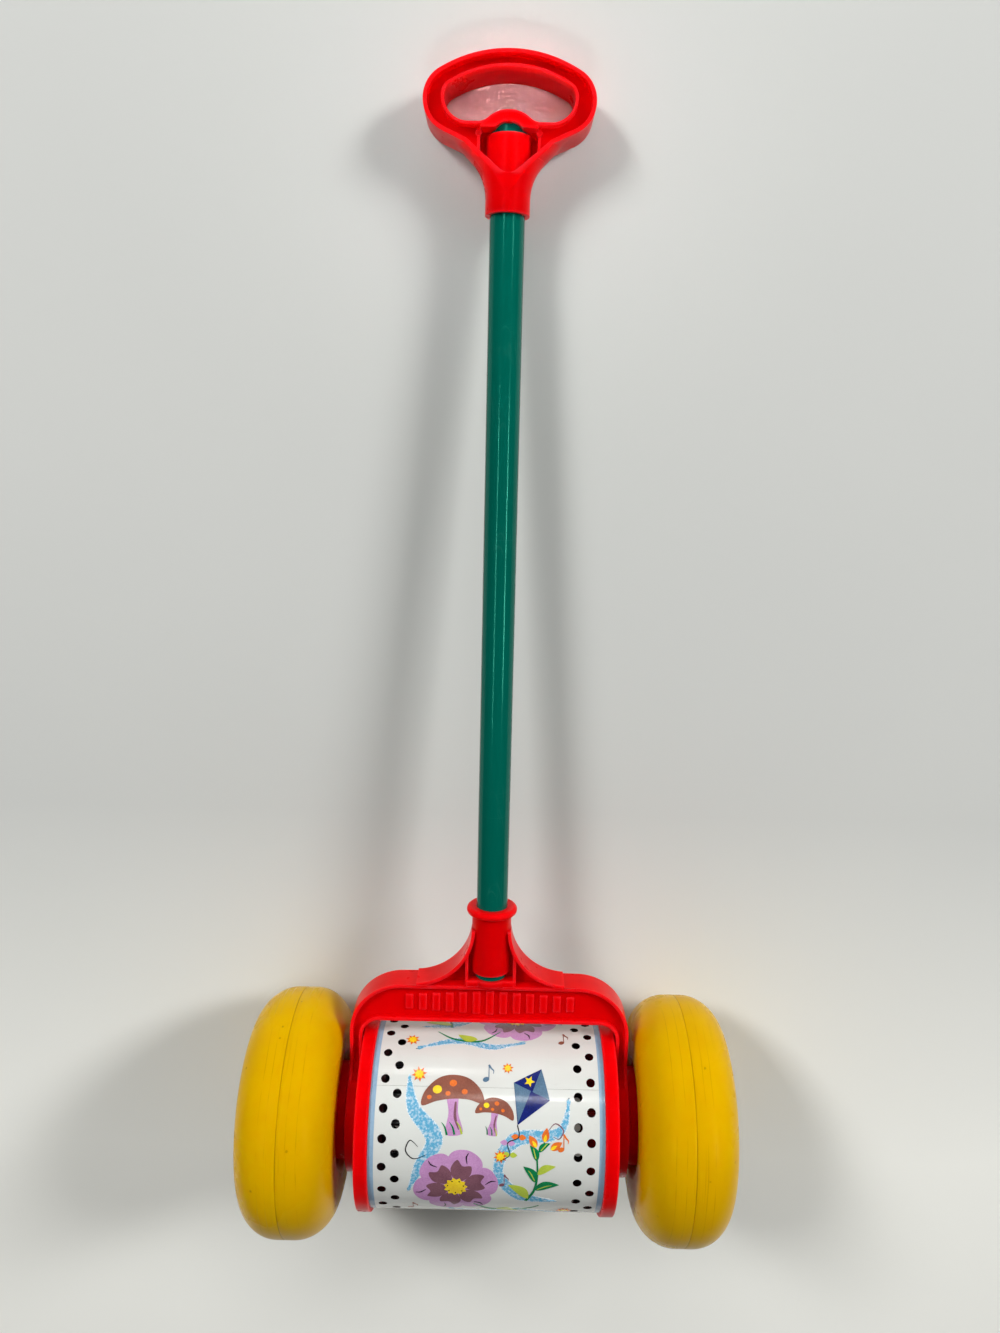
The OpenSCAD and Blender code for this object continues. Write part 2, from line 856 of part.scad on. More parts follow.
module hub(side) {
  tenon = tenon_side + 2 * seat_gap;
  color(red)
    on_axle()
      difference() {
        union() {
          along_axle(side, hub_in, dish_in, hub_d / 2);
          pegs(side, dish_in - eps, dish_in + wheel_skin + peg_stand, peg_d / 2);
        }
        along_axle(side, hub_in - eps, dish_in + eps, axle_hole_r);
        translate([side * (hub_in + tenon_l / 2), 0, 0])
          cube([tenon_l + 2 * eps, tenon, tenon], center = true);
      }
}

module left_hub() {
  hub(-1);
}

module right_hub() {
  hub(1);
}

// Axle and its caps

module axle() {
  color(steel)
    on_axle()
      rotate([0, 90, 0])
        cylinder(d = axle_d, h = 2 * axle_end, center = true);
}

// A domed cap pushed on the end of the axle
module axle_cap(side) {
  dome_r = (axle_cap_d * axle_cap_d / 4 + axle_cap_h * axle_cap_h) / (2 * axle_cap_h);
  color(steel)
    on_axle()
      difference() {
        turned(side)
          translate([0, dish_out])
            intersection() {
              translate([0, axle_cap_h - dome_r])
                circle(r = dome_r);
              area([0, 0], [axle_cap_d, axle_cap_d]);
            }
        along_axle(side, dish_out - eps, axle_end + seat_gap, axle_hole_r);
      }
}

module left_axle_cap() {
  axle_cap(-1);
}

module right_axle_cap() {
  axle_cap(1);
}

// Chime

// Puts children at a radius and angle round the axle
module round_axle(angle, r) {
  rotate([angle, 0, 0])
    translate([0, r, 0])
      children();
}

// A cylinder along the axle between two stations, low to high
module bar_x(from, to, r) {
  translate([from, 0, 0])
    rotate([0, 90, 0])
      cylinder(r = r, h = to - from);
}

module chime_block() {
  color(zinc)
    on_axle()
      difference() {
        bar_x(-plate_in, chime_face, block_d / 2);
        bar_x(-plate_in - eps, chime_face + eps, axle_hole_r);
        for (angle = rod_angles)
          round_axle(angle, rod_circle_r)
            bar_x(chime_face - rod_seat, chime_face + eps, rod_d / 2 + seat_gap);
        for (angle = clapper_angles) {
          round_axle(angle, pin_circle_r)
            bar_x(chime_face - rod_seat, chime_face + eps, pin_d / 2 + seat_gap);
          round_axle(angle, screw_circle_r)
            bar_x(-plate_in - eps, chime_face + eps, screw_d / 2 + seat_gap);
        }
      }
}

// One rod; a higher number is a shorter rod
module chime_rod(number) {
  color(steel)
    on_axle()
      round_axle(rod_angles[number - 1], rod_circle_r)
        bar_x(chime_face - rod_seat, chime_face + rod_long - rod_step * (number - 1), rod_d / 2);
}

module clapper_pins() {
  color(steel)
    on_axle()
      for (angle = clapper_angles)
        round_axle(angle, pin_circle_r)
          bar_x(chime_face - rod_seat, chime_face + pin_l, pin_d / 2);
}

module clapper_clips() {
  color(steel)
    on_axle()
      for (angle = clapper_angles, side = [-1, 1])
        round_axle(angle, pin_circle_r)
          translate([chime_face + clapper_offset + side * (clapper_t + clip_t + side_gap) / 2, 0, 0])
            difference() {
              bar_x(-clip_t / 2, clip_t / 2, clip_d / 2);
              bar_x(-clip_t, clip_t, pin_d / 2 + seat_gap);
            }
}

module chime_screws() {
  color(steel)
    on_axle()
      for (angle = clapper_angles)
        round_axle(angle, screw_circle_r) {
          bar_x(-plate_out, chime_face + eps, screw_d / 2);
          bar_x(chime_face, chime_face + screw_head_h, screw_head_d / 2);
        }
}

// One clapper, at the angle where it rests
module clapper(number) {
  color(zinc)
    on_axle()
      round_axle(clapper_angles[number - 1], pin_circle_r)
        translate([chime_face + clapper_offset, 0, 0])
          rotate([clapper_turns[number - 1] - clapper_angles[number - 1], 0, 0])
            difference() {
              union() {
                bar_x(-clapper_t / 2, clapper_t / 2, clapper_eye_d / 2);
                translate([-clapper_t / 2, 0, -clapper_w / 2])
                  cube([clapper_t, clapper_arm, clapper_w]);
                translate([0, clapper_arm, 0])
                  sphere(d = clapper_ball_d);
              }
              bar_x(-clapper_t, clapper_t, pin_d / 2 + pin_gap);
            }
}

handle();
push_tube();
yoke();
drum_shell();
left_end_cap();
right_end_cap();
left_wheel();
right_wheel();
left_hub();
right_hub();
axle();
left_axle_cap();
right_axle_cap();
chime_block();
chime_rod(1);  // chime_rod_1
chime_rod(2);  // chime_rod_2
chime_rod(3);  // chime_rod_3
chime_rod(4);  // chime_rod_4
chime_rod(5);  // chime_rod_5
chime_rod(6);  // chime_rod_6
clapper_pins();
clapper_clips();
chime_screws();
clapper(1);  // clapper_1
clapper(2);  // clapper_2
clapper(3);  // clapper_3
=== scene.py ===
"""Dressed scene of a rolling chime toy: moulded edges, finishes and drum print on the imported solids.

The toy lies on its two wheels and on the tip of its grip. Everything is in metres, in the frame of
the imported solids: X along the axle, Y from the roller to the grip, Z up from the floor.
"""

import logging
import math
from collections.abc import Iterator, Sequence
from contextlib import contextmanager
from dataclasses import dataclass, field
from enum import Enum
from functools import partial, reduce

import bpy
from mathutils import Matrix, Vector


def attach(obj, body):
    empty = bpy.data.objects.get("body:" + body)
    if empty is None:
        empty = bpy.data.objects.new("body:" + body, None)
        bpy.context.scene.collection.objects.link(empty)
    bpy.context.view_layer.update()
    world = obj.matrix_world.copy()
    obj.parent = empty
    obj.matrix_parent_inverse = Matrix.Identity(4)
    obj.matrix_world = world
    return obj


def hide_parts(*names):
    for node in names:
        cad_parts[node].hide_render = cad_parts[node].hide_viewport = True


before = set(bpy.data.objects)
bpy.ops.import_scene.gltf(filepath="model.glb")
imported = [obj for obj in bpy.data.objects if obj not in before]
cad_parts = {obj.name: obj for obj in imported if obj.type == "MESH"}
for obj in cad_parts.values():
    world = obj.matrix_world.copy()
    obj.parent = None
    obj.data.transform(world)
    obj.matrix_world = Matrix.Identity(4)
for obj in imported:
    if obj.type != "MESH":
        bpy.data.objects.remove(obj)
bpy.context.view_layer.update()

LOG = logging.getLogger("chime_toy")
MM = 0.001

Colour = tuple[float, float, float, float]
Triple = tuple[float, float, float]
Point = tuple[float, float]
Span = tuple[float, float]
Value = float | bpy.types.NodeSocket
Tint = Colour | bpy.types.NodeSocket

# Gaps in metres under which doubled points are merged, in copied and in spun pieces
COPY_GAP = 2e-6
SPIN_GAP = 1e-6
# Degrees that smooth shading reaches past the angle of the rounded edges
SMOOTH_MARGIN = 8.0
# Pull of large faces on the shading beside them
FACE_WEIGHT = 80
# Refraction of the lacquer over the print
LACQUER_IOR = 1.5
# Attribute that tells the middle of a speckled ribbon from its rim
RIBBON_MIDDLE = "middle"
# Black, for no paper and no glow
BLANK: Colour = (0.0, 0.0, 0.0, 1.0)


class Body(Enum):
    """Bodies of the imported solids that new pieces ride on."""

    FRAME = "frame"
    ROLLER = "roller"


class Slot(Enum):
    """Names of material slots; no new piece here takes them."""

    RED = "red_plastic"
    YELLOW = "yellow_plastic"
    TUBE = "tube_paint"
    PRINT = "drum_print"
    STEEL = "steel"


def box_of(node: str) -> tuple[Vector, Vector]:
    """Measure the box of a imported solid.

    Args:
        node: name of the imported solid.

    Returns:
        Its low and its high corner, in metres.
    """
    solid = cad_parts[node]
    corners = [solid.matrix_world @ Vector(corner) for corner in solid.bound_box]
    return tuple(Vector(pick(c[i] for c in corners) for i in range(3)) for pick in (min, max))


def middle_of(node: str) -> Vector:
    """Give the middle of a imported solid's box, in metres."""
    low, high = box_of(node)
    return (low + high) / 2


# Place of the axle and lie of the shaft, from the solids
AXLE = middle_of("axle")
SHAFT_UP = (middle_of("push_tube") - AXLE).normalized()
SHAFT_OUT = Vector((1.0, 0.0, 0.0)).cross(SHAFT_UP)
LEAN = math.asin(-SHAFT_UP.z)


def srgb(red: int, green: int, blue: int) -> Colour:
    """Turn screen values into a linear colour.

    Args:
        red: screen value from 0 to 255.
        green: screen value from 0 to 255.
        blue: screen value from 0 to 255.

    Returns:
        The linear colour with full opacity.
    """
    low, slope = 0.04045, 12.92
    parts = [v / 255 for v in (red, green, blue)]
    linear = [p / slope if p <= low else ((p + 0.055) / 1.055) ** 2.4 for p in parts]
    return (linear[0], linear[1], linear[2], 1.0)


# Modelling by operator


def activate(piece: bpy.types.Object) -> None:
    """Select one object alone and make it active.

    Args:
        piece: the object.
    """
    bpy.ops.object.select_all(action="DESELECT")
    piece.select_set(True)
    bpy.context.view_layer.objects.active = piece


@contextmanager
def edit_mode(piece: bpy.types.Object) -> Iterator[None]:
    """Work on one object in edit mode, with everything in it selected.

    Args:
        piece: the mesh object.

    Returns:
        A context that ends in object mode.
    """
    activate(piece)
    bpy.ops.object.mode_set(mode="EDIT")
    bpy.ops.mesh.select_all(action="SELECT")
    yield
    bpy.ops.object.mode_set(mode="OBJECT")


def apply_modifier(piece: bpy.types.Object, kind: str, **settings: object) -> None:
    """Add one modifier to a piece and apply it.

    Args:
        piece: the mesh object.
        kind: Blender's name of the modifier type.
        settings: attributes of the modifier.
    """
    activate(piece)
    modifier = piece.modifiers.new(kind.title(), kind)
    for key, value in settings.items():
        setattr(modifier, key, value)
    bpy.ops.object.modifier_apply(modifier=modifier.name)


def soften(piece: bpy.types.Object, width: float, segments: int, sharp: float) -> None:
    """Round the sharp edges of a piece and even out its shading.

    Args:
        piece: the mesh object.
        width: width of the rounding in metres; 0 leaves the edges as they are.
        segments: steps across the rounding.
        sharp: edges that turn more than this many degrees are rounded.
    """
    if width > 0:
        apply_modifier(piece, "BEVEL", width=width, segments=segments, limit_method="ANGLE",
                       angle_limit=math.radians(sharp), use_clamp_overlap=False, miter_outer="MITER_ARC")
    activate(piece)
    bpy.ops.object.shade_smooth_by_angle(angle=math.radians(sharp + SMOOTH_MARGIN))
    apply_modifier(piece, "WEIGHTED_NORMAL", keep_sharp=True, weight=FACE_WEIGHT)


def moulded_copy(node: str, name: str, width: float, segments: int = 3,
                 sharp: float = 32.0) -> bpy.types.Object:
    """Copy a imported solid, merge its loose triangles and round its edges.

    Args:
        node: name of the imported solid.
        name: name of the new piece.
        width: width of the edge rounding in metres.
        segments: steps across the rounding.
        sharp: edges that turn more than this many degrees are rounded.

    Returns:
        The new piece, which replaces the solid.
    """
    piece = bpy.data.objects.new(name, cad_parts[node].data.copy())
    bpy.context.scene.collection.objects.link(piece)
    piece.data.materials.clear()
    activate(piece)
    bpy.ops.mesh.customdata_custom_splitnormals_clear()
    with edit_mode(piece):
        bpy.ops.mesh.remove_doubles(threshold=COPY_GAP)
    soften(piece, width, segments, sharp)
    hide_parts(node)
    return piece


def turned_piece(name: str, profile: Sequence[Point], steps: int, sharp: float = 40.0) -> bpy.types.Object:
    """Spin a closed profile about the axle.

    Args:
        name: name of the new piece.
        profile: points of the closed section, as (place along the axle, radius) in metres.
        steps: number of steps round the axle.
        sharp: edges that turn more than this many degrees stay crisp.

    Returns:
        The new piece.
    """
    widest = max(radius for _, radius in profile)
    bpy.ops.object.select_all(action="DESELECT")
    bpy.ops.mesh.primitive_circle_add(vertices=len(profile), radius=widest, fill_type="NOTHING")
    piece = bpy.context.object
    piece.name = piece.data.name = name
    for vertex, (along, radius) in zip(piece.data.vertices, profile):
        vertex.co = AXLE + Vector((along, radius, 0.0))
    with edit_mode(piece):
        bpy.ops.mesh.spin(steps=steps, angle=2 * math.pi, center=AXLE, axis=(1.0, 0.0, 0.0))
        bpy.ops.mesh.select_all(action="SELECT")
        bpy.ops.mesh.remove_doubles(threshold=SPIN_GAP)
        bpy.ops.mesh.normals_make_consistent(inside=False)
    activate(piece)
    bpy.ops.object.shade_smooth_by_angle(angle=math.radians(sharp))
    return piece


# Flat outlines for the drum print, in millimetres


def smooth_line(points: Sequence[Point], closed: bool, steps: int = 6) -> list[Point]:
    """Draw a smooth curve through points.

    Args:
        points: the points that the curve passes.
        closed: whether it returns to its start.
        steps: points on each stretch.

    Returns:
        The points of the curve.
    """
    count = len(points)
    last = count if closed else count - 1

    def at(i: int) -> Point:
        """Give a point, going round or stopping at the ends."""
        return points[i % count] if closed else points[max(0, min(count - 1, i))]

    curve = []
    for i in range(last):
        a, b, c, d = at(i - 1), at(i), at(i + 1), at(i + 2)
        for k in range(steps):
            t = k / steps
            curve.append(tuple(
                0.5 * (2 * b[j] + (c[j] - a[j]) * t + (2 * a[j] - 5 * b[j] + 4 * c[j] - d[j]) * t * t
                       + (3 * b[j] - a[j] - 3 * c[j] + d[j]) * t ** 3) for j in (0, 1)))
    if not closed:
        curve.append(tuple(points[-1]))
    return curve


def stroke(points: Sequence[Point], widths: Sequence[float], steps: int = 8) -> list[Point]:
    """Draw a band that follows a smooth line.

    Args:
        points: points of its middle line.
        widths: widths spread evenly from its start to its end.
        steps: points on each stretch.

    Returns:
        The outline of the band.
    """
    line = smooth_line(points, False, steps)
    left, right = [], []
    for i, (x, y) in enumerate(line):
        before, after = line[max(0, i - 1)], line[min(len(line) - 1, i + 1)]
        dx, dy = after[0] - before[0], after[1] - before[1]
        size = math.hypot(dx, dy) or 1.0
        place = i / (len(line) - 1) * (len(widths) - 1)
        low = min(int(place), len(widths) - 2)
        half = (widths[low] + (widths[low + 1] - widths[low]) * (place - low)) / 2
        left.append((x - dy / size * half, y + dx / size * half))
        right.append((x + dy / size * half, y - dx / size * half))
    return left + right[::-1]


def disc(x: float, y: float, wide: float, high: float | None = None, count: int = 22) -> list[Point]:
    """Draw a circle, or an ellipse when its height is given."""
    tall = wide if high is None else high
    return [(x + wide * math.cos(2 * math.pi * i / count), y + tall * math.sin(2 * math.pi * i / count))
            for i in range(count)]


def turned(outline: Sequence[Point], angle: float, x: float, y: float, size: float = 1.0) -> list[Point]:
    """Turn an outline by degrees, scale it and move it to a place."""
    c, s = math.cos(math.radians(angle)) * size, math.sin(math.radians(angle)) * size
    return [(x + c * u - s * v, y + s * u + c * v) for u, v in outline]


def leaf(length: float, width: float, bow: float = 0.0) -> list[Point]:
    """Draw a pointed leaf along +X from the origin.

    Args:
        length: its length.
        width: its greatest width.
        bow: its sideways bend, as a share of its length.

    Returns:
        The outline of the leaf.
    """
    count, fore, fullness = 9, 0.8, 0.9
    top, low = [], []
    for i in range(count + 1):
        t = i / count
        half = width / 2 * math.sin(math.pi * t ** fore) ** fullness
        mid = bow * length * math.sin(math.pi * t)
        top.append((length * t, mid + half))
        low.append((length * t, mid - half))
    return top + low[-2:0:-1]


def star(points: int, outer: float, inner: float) -> list[Point]:
    """Draw a star about the origin."""
    return [((outer if i % 2 == 0 else inner) * math.sin(math.pi * i / points),
             (outer if i % 2 == 0 else inner) * math.cos(math.pi * i / points)) for i in range(2 * points)]


# Node trees


class Wiring:
    """Adds nodes to one tree and joins their sockets."""

    def __init__(self, tree: bpy.types.NodeTree) -> None:
        """Keep the tree."""
        self.tree = tree

    def node(self, kind: str, feeds: dict[str | int, object] | None = None,
             **settings: object) -> bpy.types.Node:
        """Add one node.

        Args:
            kind: Blender's name of the node type after ShaderNode.
            feeds: values or sockets for its inputs, by name or number.
            settings: attributes of the node.

        Returns:
            The node.
        """
        made = self.tree.nodes.new("ShaderNode" + kind)
        for key, value in settings.items():
            setattr(made, key, value)
        for key, value in (feeds or {}).items():
            self.feed(made, key, value)
        return made

    def feed(self, node: bpy.types.Node, key: str | int, value: object) -> None:
        """Join a socket to an input, or set the input's own value.

        Args:
            node: the node with the input.
            key: name or number of the input.
            value: a socket to join, or a value.
        """
        if isinstance(value, bpy.types.NodeSocket):
            self.tree.links.new(value, node.inputs[key])
        else:
            node.inputs[key].default_value = value

    def math(self, operation: str, a: Value, b: Value = 0.0, clamp: bool = False) -> bpy.types.NodeSocket:
        """Add a Math node and return its result."""
        return self.node("Math", {0: a, 1: b}, operation=operation, use_clamp=clamp).outputs[0]

    def gap(self, a: Value, b: Value) -> bpy.types.NodeSocket:
        """Return the distance between two values."""
        return self.math("ABSOLUTE", self.math("SUBTRACT", a, b))

    def times(self, *values: Value) -> Value:
        """Return the product of some values."""
        return reduce(partial(self.math, "MULTIPLY"), values)

    def most(self, *values: Value) -> Value:
        """Return the largest of some values."""
        return reduce(partial(self.math, "MAXIMUM"), values)

    def remap(self, value: Value, low: float, high: float, to_low: Value = 0.0, to_high: Value = 1.0
              ) -> bpy.types.NodeSocket:
        """Map a range of values onto another, and clamp it."""
        return self.node("MapRange", {0: value, 1: low, 2: high, 3: to_low, 4: to_high}).outputs[0]

    def mix(self, factor: Value, a: Tint, b: Tint) -> bpy.types.NodeSocket:
        """Mix two colours."""
        return self.node("Mix", {0: factor, 6: a, 7: b}, data_type="RGBA").outputs[2]

    def place(self) -> bpy.types.NodeSocket:
        """Return the object coordinates."""
        return self.node("TexCoord").outputs["Object"]

    def stretched(self, scale: Triple, turn: Triple = (0.0, 0.0, 0.0)) -> bpy.types.NodeSocket:
        """Return object coordinates, turned by angles and scaled along each direction."""
        return self.node("Mapping", {"Vector": self.place(), "Rotation": turn, "Scale": scale}).outputs[0]

    def noise(self, vector: bpy.types.NodeSocket, scale: Value, detail: float = 2.0
              ) -> bpy.types.NodeSocket:
        """Add a noise texture and return its value."""
        return self.node("TexNoise", {"Vector": vector, "Scale": scale, "Detail": detail}).outputs[0]

    def grain(self, scale: Triple, turn: Triple = (0.0, 0.0, 0.0), detail: float = 2.0
              ) -> bpy.types.NodeSocket:
        """Return noise that is drawn out along a direction."""
        return self.noise(self.stretched(scale, turn), 1.0, detail)

    def group(self, tree: bpy.types.NodeTree, **inputs: object) -> bpy.types.NodeSocket:
        """Place a node group with its own values.

        Args:
            tree: the node group.
            inputs: values or sockets for its inputs, by name.

        Returns:
            Its first output.
        """
        made = self.node("Group", node_tree=tree)
        for key, value in inputs.items():
            self.feed(made, key.capitalize(), value)
        return made.outputs[0]


def new_group(name: str, inputs: dict[str, float]
              ) -> tuple[bpy.types.NodeTree, Wiring, bpy.types.Node, bpy.types.Node]:
    """Start a node group with float inputs and one float output named Mask.

    Args:
        name: name of the group.
        inputs: names and standing values of its inputs.

    Returns:
        The tree, its wiring, and its input and output nodes.
    """
    tree = bpy.data.node_groups.new(name, "ShaderNodeTree")
    for key, value in inputs.items():
        entry = tree.interface.new_socket(name=key, in_out="INPUT", socket_type="NodeSocketFloat")
        entry.default_value = value
    tree.interface.new_socket(name="Mask", in_out="OUTPUT", socket_type="NodeSocketFloat")
    return tree, Wiring(tree), tree.nodes.new("NodeGroupInput"), tree.nodes.new("NodeGroupOutput")


class Effects:
    """The shared surface effects, each one node group."""

    # Turn and stretch of each set of hairlines
    HAIRLINES: tuple[tuple[Triple, Triple], ...] = (
        ((0.2, 0.5, 0.9), (700.0, 14.0, 40.0)),
        ((1.1, 0.3, 2.0), (14.0, 620.0, 30.0)),
        ((0.6, 1.4, 0.4), (30.0, 20.0, 560.0)),
    )
    HAIRLINE_WIDTH = 0.012
    PATCH_SCALE = 55.0
    WALL_RAYS = 8

    def __init__(self) -> None:
        """Build the groups."""
        self.mottle = self._mottle()
        self.scratches = self._scratches()
        # Painted light: pale thin edges stand in for sheen and glow in the plastic
        self.painted_edge_sheen = self._close_walls("Painted edge sheen", True)
        # Painted shade: inner corners darken where shade falls
        self.painted_corner_shade = self._close_walls("Painted corner shade", False)
        self.specks = self._specks()

    def _mottle(self) -> bpy.types.NodeTree:
        """Make slow, uneven cloudiness for a moulded or painted surface.

        Returns:
            The node group.
        """
        tree, w, entry, leave = new_group("Cloudy mottle", {"Scale": 40.0})
        cloud = w.noise(w.place(), entry.outputs["Scale"], 3.0)
        w.feed(leave, "Mask", w.remap(cloud, 0.3, 0.7))
        return tree

    def _scratches(self) -> bpy.types.NodeTree:
        """Make hairline scratches in three directions, gathered in patches.

        Returns:
            The node group.
        """
        tree, w, entry, leave = new_group("Hairline scratches", {"Amount": 0.5})
        lines = []
        for turn, stretch in self.HAIRLINES:
            texture = w.grain(stretch, turn, 1.0)
            lines.append(w.remap(w.gap(texture, 0.5), 0.0, self.HAIRLINE_WIDTH, 1.0, 0.0))
        patch = w.remap(w.noise(w.place(), self.PATCH_SCALE), 0.5, 0.68)
        shown = w.times(w.most(*lines), patch)
        w.feed(leave, "Mask", w.math("MULTIPLY", shown, entry.outputs["Amount"], clamp=True))
        return tree

    def _close_walls(self, name: str, inside: bool) -> bpy.types.NodeTree:
        """Make a mask of walls that stand close to each other, used as painted edge sheen or painted corner
        shade.

        Args:
            name: name of the group.
            inside: looks through the plastic, at thin walls and outer edges for painted sheen, or else at
                inner corners for painted shade.

        Returns:
            The node group.
        """
        tree, w, entry, leave = new_group(name, {"Reach": 4.0 * MM, "Gain": 1.0})
        rays = w.node("AmbientOcclusion", {"Distance": entry.outputs["Reach"]}, inside=inside,
                      only_local=True, samples=self.WALL_RAYS)
        shade = w.math("SUBTRACT", 1.0, rays.outputs["AO"])
        w.feed(leave, "Mask", w.math("MULTIPLY", shade, entry.outputs["Gain"], clamp=True))
        return tree

    def _specks(self) -> bpy.types.NodeTree:
        """Make scattered fine specks.

        Returns:
            The node group.
        """
        tree, w, entry, leave = new_group("Fine specks", {"Scale": 900.0, "Fill": 0.3})
        cells = w.node("TexVoronoi", {"Vector": w.place(), "Scale": entry.outputs["Scale"]})
        chosen = w.math("LESS_THAN", cells.outputs["Color"], entry.outputs["Fill"])
        near = w.remap(cells.outputs["Distance"], 0.25, 0.5, 1.0, 0.0)
        w.feed(leave, "Mask", w.times(chosen, near))
        return tree


EFFECTS = Effects()


# Finishes


def new_material(name: str) -> tuple[bpy.types.Material, Wiring, bpy.types.Node]:
    """Start a node material.

    Args:
        name: name of the material.

    Returns:
        The material, its wiring and its Principled shader.
    """
    material = bpy.data.materials.new(name)
    material.use_nodes = True
    return material, Wiring(material.node_tree), material.node_tree.nodes["Principled BSDF"]


@dataclass(frozen=True)
class Relief:
    """A shallow bump: its strength, and its depth in metres."""

    strength: float
    depth: float

    def apply(self, w: Wiring, shader: bpy.types.Node, height: bpy.types.NodeSocket) -> None:
        """Give a shader the bump from a height of 0 to 1."""
        bump = w.node("Bump", {"Strength": self.strength, "Distance": self.depth, "Height": height})
        w.feed(shader, "Normal", bump.outputs[0])


@dataclass(frozen=True)
class Gloss:
    """Weak shine in a tint of its own."""

    level: float
    tint: Colour

    def apply(self, shader: bpy.types.Node) -> None:
        """Set the shine of a shader."""
        shader.inputs["Specular IOR Level"].default_value = self.level
        shader.inputs["Specular Tint"].default_value = self.tint


@dataclass(frozen=True)
class InnerLight:
    """Light that wanders inside a plastic, with the reach of red, green and blue as shares of a depth."""

    weight: float
    reach: Triple
    depth: float

    def apply(self, shader: bpy.types.Node) -> None:
        """Set the inner light of a shader.

        Args:
            shader: the Principled shader.
        """
        shader.inputs["Subsurface Weight"].default_value = self.weight
        shader.inputs["Subsurface Radius"].default_value = self.reach
        shader.inputs["Subsurface Scale"].default_value = self.depth


@dataclass(frozen=True)
class MouldedPlastic:
    """Glossy injection-moulded plastic with painted sheen at thin edges, painted shade in corners, and
    hairline scratches.
    """

    name: str
    colour: Colour
    deep: Colour
    # Pale colour of the painted edge sheen and of real scratch whitening
    edge: Colour
    gloss: Gloss
    inner_light: InnerLight
    roughness: Span
    cloud_scale: float = 60.0
    cloud_share: float = 0.35
    edge_sheen_reach: float = 1.6 * MM
    edge_sheen_gain: float = 0.9
    corner_shade_reach: float = 5.0 * MM
    corner_shade_gain: float = 0.3
    scratches: float = 0.3
    scratch_share: float = 0.6
    scratch_dulling: float = 0.25
    peel_scale: float = 420.0
    relief: Relief = Relief(0.12, 0.2 * MM)

    def material(self) -> bpy.types.Material:
        """Build the material.

        Returns:
            The material.
        """
        made, w, shader = new_material(self.name)
        cloud = w.group(EFFECTS.mottle, scale=self.cloud_scale)
        edge_sheen = w.group(EFFECTS.painted_edge_sheen, reach=self.edge_sheen_reach, gain=self.edge_sheen_gain)
        marks = w.group(EFFECTS.scratches, amount=self.scratches)
        shade = w.group(EFFECTS.painted_corner_shade, reach=self.corner_shade_reach, gain=self.corner_shade_gain)
        body = w.mix(w.times(cloud, self.cloud_share), self.colour, self.deep)
        # Painted shade: corners darken towards the deep colour
        body = w.mix(shade, body, self.deep)
        # Painted edge sheen, with real scratches, towards the edge colour
        body = w.mix(w.most(edge_sheen, w.times(marks, self.scratch_share)), body, self.edge)
        w.feed(shader, "Base Color", body)
        smooth = w.remap(cloud, 0.0, 1.0, *self.roughness)
        w.feed(shader, "Roughness", w.math("ADD", smooth, w.times(marks, self.scratch_dulling), clamp=True))
        peel = w.noise(w.place(), self.peel_scale)
        self.relief.apply(w, shader, w.math("SUBTRACT", w.times(peel, 0.5), w.times(marks, 0.5)))
        self.gloss.apply(shader)
        self.inner_light.apply(shader)
        return made


